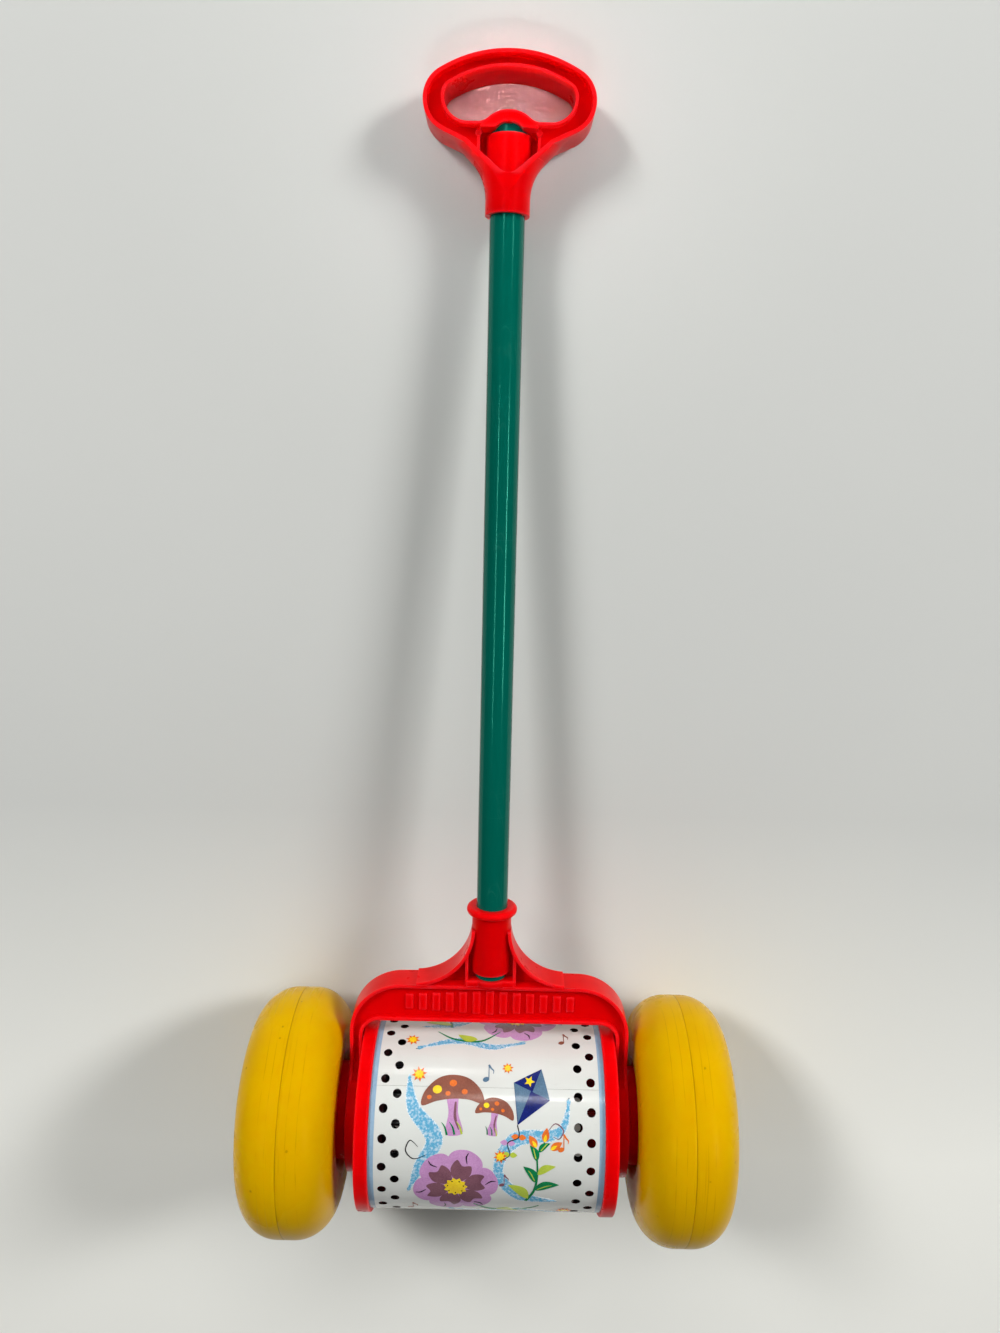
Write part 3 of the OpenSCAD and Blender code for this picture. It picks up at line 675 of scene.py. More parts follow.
@dataclass(frozen=True)
class BlownPlastic:
    """Satin blow-moulded plastic with a dark parting line, scuffs round the tread and painted shade in its
    corners.

    The middle is the place of the parting line along the axle, on either side of the toy. Widths
    of lines and of the tread run from full strength to none, as distances from their own middle.
    """

    name: str
    colour: Colour
    deep: Colour
    dirt: Colour
    gloss: Gloss
    inner_light: InnerLight
    middle: float
    roughness: Span = (0.24, 0.32)
    cloud_scale: float = 28.0
    cloud_share: float = 0.5
    seam_width: Span = (0.1 * MM, 0.32 * MM)
    seam_strength: float = 0.55
    faint_lines: tuple[float, ...] = (-9.8 * MM, -4.7 * MM, 5.2 * MM, 9.1 * MM)
    faint_width: Span = (0.08 * MM, 0.3 * MM)
    faint_wander: float = 3.0 * MM
    faint_wander_grain: Triple = (4.0, 18.0, 18.0)
    faint_break_grain: Triple = (20.0, 60.0, 60.0)
    faint_strength: float = 0.26
    tread_width: Span = (4.0 * MM, 18.0 * MM)
    scuff_grain: Triple = (1500.0, 9.0, 9.0)
    scuff_strength: float = 0.42
    patch_grain: Triple = (60.0, 34.0, 34.0)
    speck_scale: float = 520.0
    speck_fill: float = 0.07
    speck_strength: float = 0.6
    mark_dulling: float = 0.3
    mark_depth: float = 0.6
    corner_shade_reach: float = 20.0 * MM
    corner_shade_gain: float = 0.3
    ripple_scale: float = 90.0
    relief: Relief = Relief(0.1, 0.6 * MM)

    def material(self) -> bpy.types.Material:
        """Build the material.

        Returns:
            The material.
        """
        made, w, shader = new_material(self.name)
        across = w.node("SeparateXYZ", {0: w.place()}).outputs["X"]
        along = w.math("SUBTRACT", w.math("ABSOLUTE", across), self.middle)
        from_middle = w.math("ABSOLUTE", along)
        cloud = w.group(EFFECTS.mottle, scale=self.cloud_scale)
        patch = w.grain(self.patch_grain)
        tread = w.remap(from_middle, *self.tread_width, 1.0, 0.0)
        streak = w.times(w.remap(w.grain(self.scuff_grain), 0.6, 0.7), w.remap(patch, 0.52, 0.7))
        scuff = w.times(streak, tread, self.scuff_strength)
        dots = w.group(EFFECTS.specks, scale=self.speck_scale, fill=self.speck_fill)
        speck = w.times(dots, w.remap(patch, 0.45, 0.6), self.speck_strength)
        line = w.remap(from_middle, *self.seam_width, self.seam_strength, 0.0)
        seam = w.times(line, w.remap(patch, 0.3, 0.6, 0.35, 1.0))
        marks = w.most(self._faint_lines(w, along), scuff, speck)
        body = w.mix(w.times(cloud, self.cloud_share), self.colour, self.deep)
        body = w.mix(w.most(marks, seam), body, self.dirt)
        # Painted shade: corners darken towards the deep colour
        shade = w.group(EFFECTS.painted_corner_shade, reach=self.corner_shade_reach, gain=self.corner_shade_gain)
        w.feed(shader, "Base Color", w.mix(shade, body, self.deep))
        smooth = w.remap(cloud, 0.0, 1.0, *self.roughness)
        w.feed(shader, "Roughness", w.math("ADD", smooth, w.times(marks, self.mark_dulling), clamp=True))
        ripple = w.noise(w.place(), self.ripple_scale, 3.0)
        self.relief.apply(w, shader, w.math("SUBTRACT", ripple, w.times(marks, self.mark_depth)))
        self.gloss.apply(shader)
        self.inner_light.apply(shader)
        return made

    def _faint_lines(self, w: Wiring, along: bpy.types.NodeSocket) -> Value:
        """Draw faint, broken and slightly wandering lines round the tread.

        Args:
            w: wiring of the material.
            along: distance from the parting line along the axle.

        Returns:
            The strength of the lines.
        """
        drift = w.math("SUBTRACT", w.grain(self.faint_wander_grain), 0.5)
        wandering = w.math("ADD", along, w.times(drift, self.faint_wander))
        gaps = [w.gap(wandering, place) for place in self.faint_lines]
        lines = [w.remap(gap, *self.faint_width, 1.0, 0.0) for gap in gaps]
        broken = w.remap(w.grain(self.faint_break_grain, detail=3.0), 0.42, 0.62)
        return w.times(w.most(*lines), broken, self.faint_strength)


@dataclass(frozen=True)
class DrawnTube:
    """Satin coloured tube with faint draw lines along it and a few rubbed marks."""

    name: str
    colour: Colour
    deep: Colour
    rubbed: Colour
    gloss: Gloss
    roughness: Span = (0.1, 0.15)
    draw_grain: Triple = (900.0, 3.0, 900.0)
    draw_share: float = 0.3
    cloud_scale: float = 14.0
    cloud_share: float = 0.6
    scratches: float = 0.2
    scratch_share: float = 0.5
    scratch_dulling: float = 0.3
    speck_scale: float = 260.0
    speck_fill: float = 0.02
    speck_share: float = 0.25
    relief: Relief = Relief(0.015, 0.2 * MM)

    def material(self) -> bpy.types.Material:
        """Build the material.

        Returns:
            The material.
        """
        made, w, shader = new_material(self.name)
        draw = w.grain(self.draw_grain, (LEAN, 0.0, 0.0))
        cloud = w.group(EFFECTS.mottle, scale=self.cloud_scale)
        marks = w.group(EFFECTS.scratches, amount=self.scratches)
        specks = w.group(EFFECTS.specks, scale=self.speck_scale, fill=self.speck_fill)
        body = w.mix(w.times(cloud, self.cloud_share), self.colour, self.deep)
        body = w.mix(w.times(w.remap(draw, 0.35, 0.65), self.draw_share), body, self.deep)
        rub = w.most(w.times(marks, self.scratch_share), w.times(specks, self.speck_share))
        w.feed(shader, "Base Color", w.mix(rub, body, self.rubbed))
        smooth = w.remap(draw, 0.3, 0.7, *self.roughness)
        w.feed(shader, "Roughness", w.math("ADD", smooth, w.times(marks, self.scratch_dulling), clamp=True))
        self.relief.apply(w, shader, draw)
        self.gloss.apply(shader)
        return made


@dataclass(frozen=True)
class PrintedSheet:
    """Glossy white lacquer on the drum sheet, with age in it and tiny chips."""

    name: str
    colour: Colour
    aged: Colour
    chip: Colour
    roughness: Span = (0.14, 0.2)
    cloud_scale: float = 22.0
    cloud_share: float = 0.7
    chip_scale: float = 330.0
    chip_fill: float = 0.012
    chip_share: float = 0.6
    scratches: float = 0.35
    scratch_share: float = 0.3
    scratch_dulling: float = 0.3
    dent_scale: float = 46.0
    relief: Relief = Relief(0.06, 1.2 * MM)

    def material(self) -> bpy.types.Material:
        """Build the material.

        Returns:
            The material.
        """
        made, w, shader = new_material(self.name)
        cloud = w.group(EFFECTS.mottle, scale=self.cloud_scale)
        chips = w.group(EFFECTS.specks, scale=self.chip_scale, fill=self.chip_fill)
        marks = w.group(EFFECTS.scratches, amount=self.scratches)
        body = w.mix(w.times(cloud, self.cloud_share), self.colour, self.aged)
        wear = w.most(w.times(chips, self.chip_share), w.times(marks, self.scratch_share))
        w.feed(shader, "Base Color", w.mix(wear, body, self.chip))
        smooth = w.remap(cloud, 0.0, 1.0, *self.roughness)
        w.feed(shader, "Roughness", w.math("ADD", smooth, w.times(marks, self.scratch_dulling), clamp=True))
        self.relief.apply(w, shader, w.noise(w.place(), self.dent_scale, 1.0))
        shader.inputs["IOR"].default_value = LACQUER_IOR
        return made


@dataclass(frozen=True)
class PrintInk:
    """One ink of the drum print: a grainy tone under the gloss lacquer."""

    name: str
    colour: Colour
    shade: Colour
    grain: float = 1400.0
    speckled: bool = False
    cloud_scale: float = 130.0
    fine_share: float = 0.3
    cover: Span = (0.34, 0.62)
    roughness: Span = (0.14, 0.22)

    def material(self) -> bpy.types.Material:
        """Build the material.

        Returns:
            The material.
        """
        made, w, shader = new_material(self.name)
        grain = w.noise(w.place(), self.grain)
        w.feed(shader, "Base Color", self._speckle(w, grain) if self.speckled else self._tone(w, grain))
        w.feed(shader, "Roughness", w.remap(grain, 0.3, 0.7, *self.roughness))
        shader.inputs["IOR"].default_value = LACQUER_IOR
        return made

    def _speckle(self, w: Wiring, grain: bpy.types.NodeSocket) -> bpy.types.NodeSocket:
        """Draw dots of ink that thin out towards the rim of a ribbon.

        Args:
            w: wiring of the material.
            grain: the fine grain of the ink.

        Returns:
            The colour.
        """
        middle = w.node("Attribute", attribute_name=RIBBON_MIDDLE).outputs["Fac"]
        cover = w.remap(middle, 0.0, 0.6, *self.cover)
        dots = w.remap(w.math("SUBTRACT", w.math("ADD", grain, cover), 0.9), -0.03, 0.05)
        fine = w.noise(w.place(), self.grain * self.fine_share, 1.0)
        return w.mix(w.times(dots, w.remap(fine, 0.3, 0.55, 0.45, 1.0)), self.shade, self.colour)

    def _tone(self, w: Wiring, grain: bpy.types.NodeSocket) -> bpy.types.NodeSocket:
        """Draw an uneven full tone.

        Args:
            w: wiring of the material.
            grain: the fine grain of the ink.

        Returns:
            The colour.
        """
        cloud = w.noise(w.place(), self.cloud_scale)
        tone = w.math("ADD", w.remap(grain, 0.35, 0.65, 0.0, 0.5), w.remap(cloud, 0.4, 0.7, 0.0, 0.5))
        return w.mix(tone, self.colour, self.shade)


@dataclass(frozen=True)
class BareMetal:
    """Plain metal of the axle and the chime, with tool marks and dull patches."""

    name: str
    colour: Colour
    dull: Colour
    roughness: Span
    cloud_scale: float = 90.0
    tool_grain: Triple = (40.0, 1800.0, 1800.0)
    relief: Relief = Relief(0.08, 0.2 * MM)

    def material(self) -> bpy.types.Material:
        """Build the material.

        Returns:
            The material.
        """
        made, w, shader = new_material(self.name)
        cloud = w.group(EFFECTS.mottle, scale=self.cloud_scale)
        lines = w.grain(self.tool_grain)
        w.feed(shader, "Base Color", w.mix(cloud, self.colour, self.dull))
        w.feed(shader, "Roughness", w.remap(lines, 0.3, 0.7, *self.roughness))
        self.relief.apply(w, shader, lines)
        shader.inputs["Metallic"].default_value = 1.0
        return made


RED = MouldedPlastic(
    "Red moulded plastic", colour=srgb(222, 0, 4), deep=srgb(176, 0, 2), edge=srgb(252, 40, 50),
    gloss=Gloss(0.16, srgb(255, 58, 66)), inner_light=InnerLight(0.85, (1.0, 0.1, 0.1), 10.0 * MM),
    roughness=(0.26, 0.36))
YELLOW = BlownPlastic(
    "Yellow blown plastic", colour=srgb(204, 160, 0), deep=srgb(191, 145, 0), dirt=srgb(96, 68, 4),
    gloss=Gloss(0.07, srgb(255, 214, 70)), inner_light=InnerLight(0.6, (1.0, 0.6, 0.05), 8.0 * MM),
    middle=middle_of("right_wheel").x)
GREEN = DrawnTube(
    "Green tube", colour=srgb(0, 89, 76), deep=srgb(0, 80, 68), rubbed=srgb(70, 140, 124),
    gloss=Gloss(0.28, srgb(96, 236, 206)))
SHEET = PrintedSheet(
    "White lacquered sheet", colour=srgb(204, 207, 204), aged=srgb(194, 197, 193), chip=srgb(150, 140, 132))
STEEL = BareMetal("Bright steel", srgb(190, 192, 194), srgb(150, 152, 156), (0.2, 0.34))
# Bare inside of the drum sheet, darkened as painted shade in the holes
SHADED_TINPLATE = BareMetal("Tinplate darkened as painted shade", srgb(64, 40, 38), srgb(44, 26, 26), (0.35, 0.5))
ZINC = BareMetal("Cast zinc", srgb(150, 152, 156), srgb(116, 118, 122), (0.4, 0.55))


class Ink(Enum):
    """The inks of the print, in the order in which they are laid."""

    BAND = PrintInk("Ink grey blue", srgb(136, 166, 190), srgb(122, 152, 178))
    RIBBON = PrintInk("Ink light blue specks", srgb(86, 158, 194), srgb(222, 228, 231), 2600.0, True)
    LILAC = PrintInk("Ink lilac", srgb(190, 142, 190), srgb(168, 120, 168))
    PLUM = PrintInk("Ink plum", srgb(126, 84, 98), srgb(104, 66, 80))
    BROWN = PrintInk("Ink brown", srgb(138, 84, 68), srgb(116, 68, 56))
    NAVY = PrintInk("Ink navy", srgb(20, 34, 112), srgb(10, 18, 76))
    SLATE = PrintInk("Ink slate", srgb(86, 116, 142), srgb(66, 92, 118))
    GREEN = PrintInk("Ink green", srgb(12, 124, 72), srgb(4, 96, 56))
    LIME = PrintInk("Ink lime", srgb(176, 192, 70), srgb(150, 172, 54))
    ORANGE = PrintInk("Ink orange", srgb(222, 116, 48), srgb(198, 92, 34))
    YELLOW = PrintInk("Ink yellow", srgb(238, 212, 40), srgb(222, 180, 24))
    BLACK = PrintInk("Ink black", srgb(30, 26, 32), srgb(16, 14, 20))


# Sub-assemblies


def dress(piece: bpy.types.Object, material: bpy.types.Material,
          body: Body) -> bpy.types.Object:
    """Give a new piece its finish and let it ride on a body.

    Args:
        piece: the new piece.
        material: its material.
        body: the body it moves with.

    Returns:
        The piece.
    """
    piece.data.materials.append(material)
    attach(piece, body.value)
    LOG.info("piece %s: %d faces, on %s", piece.name, len(piece.data.polygons), body.value)
    return piece


def refinish(nodes: Sequence[str], material: bpy.types.Material) -> None:
    """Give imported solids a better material.

    Args:
        nodes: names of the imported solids.
        material: their material.
    """
    for node in nodes:
        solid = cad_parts[node]
        solid.data.materials.clear()
        solid.data.materials.append(material)
        LOG.info("solid %s: %s", node, material.name)


@dataclass
class Pusher:
    """The part that stays still: grip, tube and yoke."""

    grip_edge: float = 0.2 * MM
    yoke_edge: float = 0.25 * MM
    tube_edge: float = 0.25 * MM

    def build(self, red: bpy.types.Material, green: bpy.types.Material) -> None:
        """Make and dress the three pieces.

        Args:
            red: finish of grip and yoke.
            green: finish of the tube.
        """
        dress(moulded_copy("handle", "loop_grip", self.grip_edge), red, Body.FRAME)
        dress(moulded_copy("yoke", "roller_yoke", self.yoke_edge), red, Body.FRAME)
        dress(moulded_copy("push_tube", "green_tube", self.tube_edge, 2), green, Body.FRAME)


@dataclass
class Wheel:
    """A hollow-looking balloon wheel, spun from its section.

    The dish ring is a ring of points on the dish's floor, as a share of the dish. The seam's
    shoulder and lip are shares of the seam's width and depth.
    """

    middle: float
    half_width: float
    radius: float
    corner: float = 20.0 * MM
    dish_radius: float = 28.0 * MM
    dish_depth: float = 9.0 * MM
    dish_edge: float = 4.0 * MM
    dish_root: float = 2.0 * MM
    dish_ring: float = 0.55
    bore: float = 3.05 * MM
    seam_width: float = 0.5 * MM
    seam_depth: float = 0.3 * MM
    seam_shoulder: float = 0.8
    seam_lip: float = 0.3
    steps: int = 160

    @classmethod
    def fitted(cls, node: str) -> "Wheel":
        """Start a wheel with the width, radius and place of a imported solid."""
        low, high = box_of(node)
        return cls((low.x + high.x) / 2, (high.x - low.x) / 2, (high.z - low.z) / 2)

    def half_section(self) -> list[Point]:
        """Draw the section from the bore to the middle of the tread, on the outer side.

        Returns:
            Its points, as (place from the middle of the wheel, radius) in metres.
        """
        floor = self.half_width - self.dish_depth
        foot = self.dish_radius - self.dish_root
        rim = (self.half_width - self.dish_edge, self.dish_radius + self.dish_edge)
        shoulder = (self.half_width - self.corner, self.radius - self.corner)
        points = [(floor, self.bore), (floor, self.dish_radius * self.dish_ring), (floor, foot)]
        points += self._arc(floor + self.dish_root, foot, self.dish_root, 180, 90, 4)[1:]
        points += self._arc(*rim, self.dish_edge, 270, 360, 7)
        points += self._arc(*shoulder, self.corner, 0, 90, 20)
        points += [(shoulder[0] / 2, self.radius), (self.seam_width * self.seam_shoulder, self.radius)]
        points += [(self.seam_width / 2, self.radius - self.seam_depth * self.seam_lip)]
        points += [(0.0, self.radius - self.seam_depth)]
        return points

    @staticmethod
    def _arc(x: float, r: float, size: float, start: float, stop: float, steps: int) -> list[Point]:
        """Give points on an arc about (x, r), with angles in degrees from the axle's direction."""
        angles = [math.radians(start + (stop - start) * i / steps) for i in range(steps + 1)]
        return [(x + size * math.cos(a), r + size * math.sin(a)) for a in angles]

    def build(self, node: str, yellow: bpy.types.Material) -> None:
        """Make and dress the wheel.

        Args:
            node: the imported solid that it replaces.
            yellow: its finish.
        """
        half = self.half_section()
        section = half + [(-x, r) for x, r in half[-2::-1]]
        piece = turned_piece(node + "_tyre", [(self.middle + x, r) for x, r in section], self.steps)
        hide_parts(node)
        dress(piece, yellow, Body.ROLLER)


@dataclass(frozen=True)
class Spot:
    """Where a motif of the print stands on the flat sheet, how large it is and how it is turned."""

    u: float
    v: float
    size: float
    turn: float

    def put(self, outline: Sequence[Point], angle: float = 0.0, x: float = 0.0,
            y: float = 0.0) -> list[Point]:
        """Turn and move an outline within its motif, and then with the motif."""
        return turned(turned(outline, angle, x, y), self.turn, self.u, self.v, self.size)


@dataclass
class DrumPrint:
    """A generic garden print in thin films of ink on the drum sheet, with sizes in millimetres."""

    radius: float = 47.0
    half_length: float = 59.0
    band_width: float = 2.9
    band_gap: float = 0.05
    first_picture: float = 6.0
    first_lift: float = 0.05
    lift_step: float = 0.02
    film: float = 0.14
    slice_height: float = 2.4
    ribbon_rim: float = 1.6
    crisp_angle: float = 30.0
    outlines: dict[Ink, list[list[Point]]] = field(default_factory=dict)

    def lay(self, ink: Ink, outline: Sequence[Point]) -> None:
        """Add one closed outline in an ink, turned the right way round."""
        area = sum(a[0] * b[1] - b[0] * a[1] for a, b in zip(outline, [*outline[1:], outline[0]]))
        self.outlines.setdefault(ink, []).append(list(outline) if area > 0 else list(outline)[::-1])

    def blossom(self, spot: Spot) -> None:
        """Lay a six-petalled flower with dark hearts on its petals.

        Args:
            spot: where it stands.
        """
        petal = [(2, -2), (9, -8.5), (18, -8), (21.5, 0), (18, 8), (9, 8.5), (2, 2)]
        heart = [(4, -1.5), (9, -5), (14, -4.2), (13, 0), (15.5, 3.5), (10, 5.4), (4, 1.6)]
        vein = stroke([(15, -1), (18, 0.4), (20.4, 0)], [0.2, 0.7, 0.15])
        petals, heart_turn = 6, 3
        for i in range(petals):
            angle = 360 / petals * i
            self.lay(Ink.LILAC, spot.put(smooth_line(petal, True), angle))
            self.lay(Ink.PLUM, spot.put(smooth_line(heart, True), angle + heart_turn))
            self.lay(Ink.BLACK, spot.put(vein, angle))
        self.lay(Ink.YELLOW, spot.put(star(11, 6.0, 4.7)))
        self.lay(Ink.ORANGE, spot.put(disc(0.4, -0.5, 2.9)))
        seeds, ring, seed = 7, 4.1 * spot.size, 0.42 * spot.size
        for i in range(seeds):
            a = math.radians(spot.turn + 360 * i / seeds)
            x, y = spot.u + ring * math.cos(a), spot.v + ring * math.sin(a)
            self.lay(Ink.BLACK, disc(x, y, seed, count=8))

    def spray(self, spot: Spot) -> None:
        """Lay a bending stem with green and lime leaves and orange buds.

        Args:
            spot: where it stands.
        """
        stem = [(0, -18), (1.5, -8), (0, 2), (-3, 12), (-1.5, 19)]
        self.lay(Ink.GREEN, spot.put(stroke(stem, [1.5, 1.1, 0.8, 0.5])))
        line = smooth_line(stem, False)
        for i, share in enumerate((0.12, 0.26, 0.4, 0.54, 0.68, 0.82)):
            x, y = line[int(share * (len(line) - 1))]
            side = 1 if i % 2 else -1
            ink, rib = (Ink.GREEN, Ink.LIME) if i % 3 else (Ink.LIME, Ink.GREEN)
            out = 90 - side * (62 - 5 * i)
            self.lay(ink, spot.put(leaf(14.5 - 1.4 * i, 5.6 - 0.5 * i, 0.12 * side), out, x, y))
            vein = stroke([(1.5, 0), (6, 0.9 * side), (10.5 - i, 0.8 * side)], [0.5, 0.45, 0.15])
            self.lay(rib, spot.put(vein, out, x, y))
        for x, y, angle in ((-1.5, 19, 96), (-4.6, 15.5, 140), (2.4, 16.5, 48)):
            self.lay(Ink.ORANGE, spot.put(leaf(7.0, 3.8), angle, x, y))
            self.lay(Ink.YELLOW, spot.put(leaf(4.0, 1.6), angle, x, y))

    def toadstool(self, spot: Spot) -> None:
        """Lay a brown-capped toadstool with pale spots and a lilac stem.

        Args:
            spot: where it stands.
        """
        stem = [(-2.6, 10), (-2.2, 2), (-4.2, -7), (0.5, -8.6), (4.6, -6.8), (2.6, 2), (2.8, 10)]
        self.lay(Ink.LILAC, spot.put(smooth_line(stem, True)))
        self.lay(Ink.PLUM, spot.put(stroke([(1.6, 7), (1.0, 0), (2.6, -6)], [0.9, 1.5, 0.3])))
        cap = [(-15.5, 6.2), (-14, 12.5), (-7, 18.6), (1, 20), (9, 17.6), (14.6, 11.5), (15.4, 5.4),
               (8, 7.6), (0, 8.4), (-8, 7.8)]
        self.lay(Ink.BROWN, spot.put(smooth_line(cap, True)))
        gloss = [(4, 18), (9.6, 15), (13.2, 9.6), (13.9, 7), (9, 9.6), (6.5, 13.5)]
        self.lay(Ink.PLUM, spot.put(smooth_line(gloss, True)))
        dots = ((-7.5, 13.2, 2.3), (0.6, 15.8, 1.9), (-2.2, 11, 1.3), (-11.6, 9.8, 1.2), (6.2, 11.4, 1.5))
        squash, large = 0.85, 2.0
        for x, y, r in dots:
            self.lay(Ink.YELLOW if r > large else Ink.ORANGE, spot.put(disc(x, y, r, r * squash)))
        for x, ink in ((-3.4, Ink.GREEN), (0.4, Ink.GREEN), (4.0, Ink.LIME)):
            blade = stroke([(x, -8), (x - 0.8, -4.6), (x - 2.4, -2)], [1.1, 0.8, 0.15])
            self.lay(ink, spot.put(blade))

    def kite(self, spot: Spot) -> None:
        """Lay a navy and slate kite with a bowed tail.

        Args:
            spot: where it stands.
        """
        self.lay(Ink.NAVY, spot.put([(0, 16), (10.5, 3), (0, -15), (-10.5, 3)]))
        self.lay(Ink.SLATE, spot.put([(0, 16), (10.5, 3), (0.5, 3)]))
        self.lay(Ink.SLATE, spot.put([(-10.5, 3), (-0.5, 3), (-0.2, -14)]))
        self.lay(Ink.YELLOW, spot.put(star(5, 3.0, 1.3), 0, -3.2, 7.2))
        tail = [(0, -15), (3, -20), (-1, -25), (2.5, -30), (-0.5, -35)]
        self.lay(Ink.BLACK, spot.put(stroke(tail, [0.45, 0.45, 0.3])))
        for (x, y), ink in zip(tail[1:4], (Ink.ORANGE, Ink.LILAC, Ink.LIME)):
            for angle in (20, 200):
                self.lay(ink, spot.put(leaf(4.0, 2.8), angle, x, y))

    def note(self, spot: Spot, ink: Ink) -> None:
        """Lay a quaver.

        Args:
            spot: where it stands.
            ink: its ink.
        """
        flag = stroke([(1.5, 8.4), (2.8, 6.4), (4.2, 5.0), (4.0, 3.2)], [1.2, 0.8, 0.2])
        self.lay(ink, spot.put(disc(0, 0, 1.9, 1.35, 14), 20))
        self.lay(ink, spot.put([(1.3, 0.2), (1.8, 0.2), (1.8, 8.6), (1.3, 8.6)]))
        self.lay(ink, spot.put(flag))

    def burst(self, spot: Spot) -> None:
        """Lay a small two-toned star."""
        self.lay(Ink.ORANGE, spot.put(star(8, 5.0, 2.7)))
        self.lay(Ink.YELLOW, spot.put(star(8, 3.6, 2.0), 22.5))

    def curl(self, points: Sequence[Point], ink: Ink, width: float) -> None:
        """Lay a thin curling line."""
        self.lay(ink, stroke(points, [width * 0.3, width, width, width * 0.3]))

    def section(self, start: float, flip_u: int, flip_v: int) -> None:
        """Lay one of the three pictures round the drum.

        Args:
            start: place of its middle round the drum.
            flip_u: 1, or -1 to swap left and right places.
            flip_v: 1, or -1 to swap upper and lower places.
        """
        way = flip_u * flip_v

        def at(u: float, v: float) -> Point:
            """Place a point of the picture on the drum."""
            return flip_u * u, start + flip_v * v

        def path(*points: Point) -> list[Point]:
            """Place a row of points."""
            return [at(*p) for p in points]

        def spot(u: float, v: float, size: float, turn: float = 0.0) -> Spot:
            """Place a motif."""
            return Spot(*at(u, v), size, turn * way)

        ribbons = (
            (((-40, 40), (-37, 24), (-26, 10), (-33, -4), (-39, -20)), (0.6, 7, 9, 6, 0.5)),
            (((41, 30), (36, 14), (14, 10), (6, -6), (18, -22), (36, -26)), (0.5, 5, 7.5, 5, 8, 0.6)),
            (((-20, -38), (-2, -42), (16, -38), (38, -44)), (0.4, 4, 5, 0.4)),
        )
        for points, widths in ribbons:
            self.lay(Ink.RIBBON, stroke(path(*points), widths))
        self.blossom(spot(-15, -16, 1.0, 12))
        self.curl(path((-6, -30), (4, -38), (18, -37), (27, -31)), Ink.GREEN, 1.1)
        self.lay(Ink.LIME, turned(leaf(11, 4.6, 0.1), -20 if way > 0 else 160, *at(6, -37)))
        self.toadstool(spot(-17, 20, 1.0, 4))
        self.toadstool(spot(3, 17, 0.62, -8))
        self.kite(spot(21, 30, 0.95, -24))
        self.spray(spot(25, -9, 0.98, -16))
        self.note(spot(-1, 38, 0.9), Ink.SLATE)
        self.note(spot(37, 6, 0.85), Ink.ORANGE)
        self.note(spot(-38, -38, 0.85), Ink.BROWN)
        self.note(spot(8, -14, 0.75), Ink.PLUM)
        for u, v, size in ((-35, 40, 0.8), (7, 2, 0.7), (40, -38, 0.75), (10, 44, 0.6)):
            self.burst(spot(u, v, size, 10))
        self.curl(path((-34, 6), (-38, 9), (-40, 4), (-36, 0), (-30, 2)), Ink.BLACK, 0.5)
        self.curl(path((30, 14), (34, 18), (38, 15), (36, 11), (33, 12)), Ink.PLUM, 0.6)

    def draw(self) -> None:
        """Lay the two edge bands and the three pictures."""
        half_turn = math.pi * self.radius
        for side in (-1, 1):
            near = side * (self.half_length - self.band_width)
            far = side * (self.half_length - self.band_gap)
            self.lay(Ink.BAND, [(near, -half_turn), (far, -half_turn), (far, half_turn), (near, half_turn)])
        repeat = 2 * half_turn / 3
        for place, flip_u, flip_v in ((0, 1, 1), (1, -1, 1), (-1, 1, -1)):
            self.section(self.first_picture + place * repeat, flip_u, flip_v)

    def wrap(self, u: float, v: float, lift: float) -> Vector:
        """Put a flat point onto the drum.

        Args:
            u: place along the axle in millimetres.
            v: place round the drum in millimetres.
            lift: height above the sheet in millimetres.

        Returns:
            The place in metres.
        """
        angle = v / self.radius
        out = math.cos(angle) * SHAFT_OUT + math.sin(angle) * SHAFT_UP
        return AXLE + Vector((u * MM, 0, 0)) + (self.radius + lift) * MM * out

    def film_piece(self, ink: Ink, lift: float) -> bpy.types.Object:
        """Cut one ink's outlines into strips, wrap them on the drum and give them thickness.

        Args:
            ink: the ink.
            lift: height of the film above the sheet in millimetres.

        Returns:
            The film as one piece.
        """
        outlines = self.outlines[ink]
        flat = [p for outline in outlines for p in outline]
        low, high = min(v for _, v in flat), max(v for _, v in flat)
        bpy.ops.object.select_all(action="DESELECT")
        bpy.ops.mesh.primitive_circle_add(vertices=len(outlines[0]), radius=1.0, fill_type="NGON")
        piece = bpy.context.object
        piece.name = piece.data.name = "print_" + ink.name.lower()
        with edit_mode(piece):
            for outline in outlines[1:]:
                bpy.ops.mesh.primitive_circle_add(vertices=len(outline), radius=1.0, fill_type="NGON")
        for vertex, (u, v) in zip(piece.data.vertices, flat):
            vertex.co = (u, v, 0.0)
        if ink.value.speckled:
            self._mark_middle(piece, flat)
        with edit_mode(piece):
            for k in range(math.ceil(low / self.slice_height), math.floor(high / self.slice_height) + 1):
                bpy.ops.mesh.select_all(action="SELECT")
                bpy.ops.mesh.bisect(plane_co=(0, k * self.slice_height, 0), plane_no=(0, 1, 0))
        for vertex in piece.data.vertices:
            vertex.co = self.wrap(vertex.co.x, vertex.co.y, lift)
        apply_modifier(piece, "SOLIDIFY", thickness=self.film * MM, offset=-1.0)
        activate(piece)
        bpy.ops.object.shade_smooth_by_angle(angle=math.radians(self.crisp_angle))
        return piece

    def _mark_middle(self, piece: bpy.types.Object, edge: Sequence[Point]) -> None:
        """Give ribbons a rim, and mark their points with 0 on the edge and 1 inside it.

        Args:
            piece: the flat ribbons.
            edge: the points of their outlines.
        """
        piece.data.attributes.new(RIBBON_MIDDLE, "FLOAT", "POINT")
        apply_modifier(piece, "TRIANGULATE")
        with edit_mode(piece):
            bpy.ops.mesh.inset(thickness=self.ribbon_rim, use_boundary=True)
        known = {(round(u, 3), round(v, 3)) for u, v in edge}
        marks = piece.data.attributes[RIBBON_MIDDLE].data
        for vertex, mark in zip(piece.data.vertices, marks):
            mark.value = 0.0 if (round(vertex.co.x, 3), round(vertex.co.y, 3)) in known else 1.0

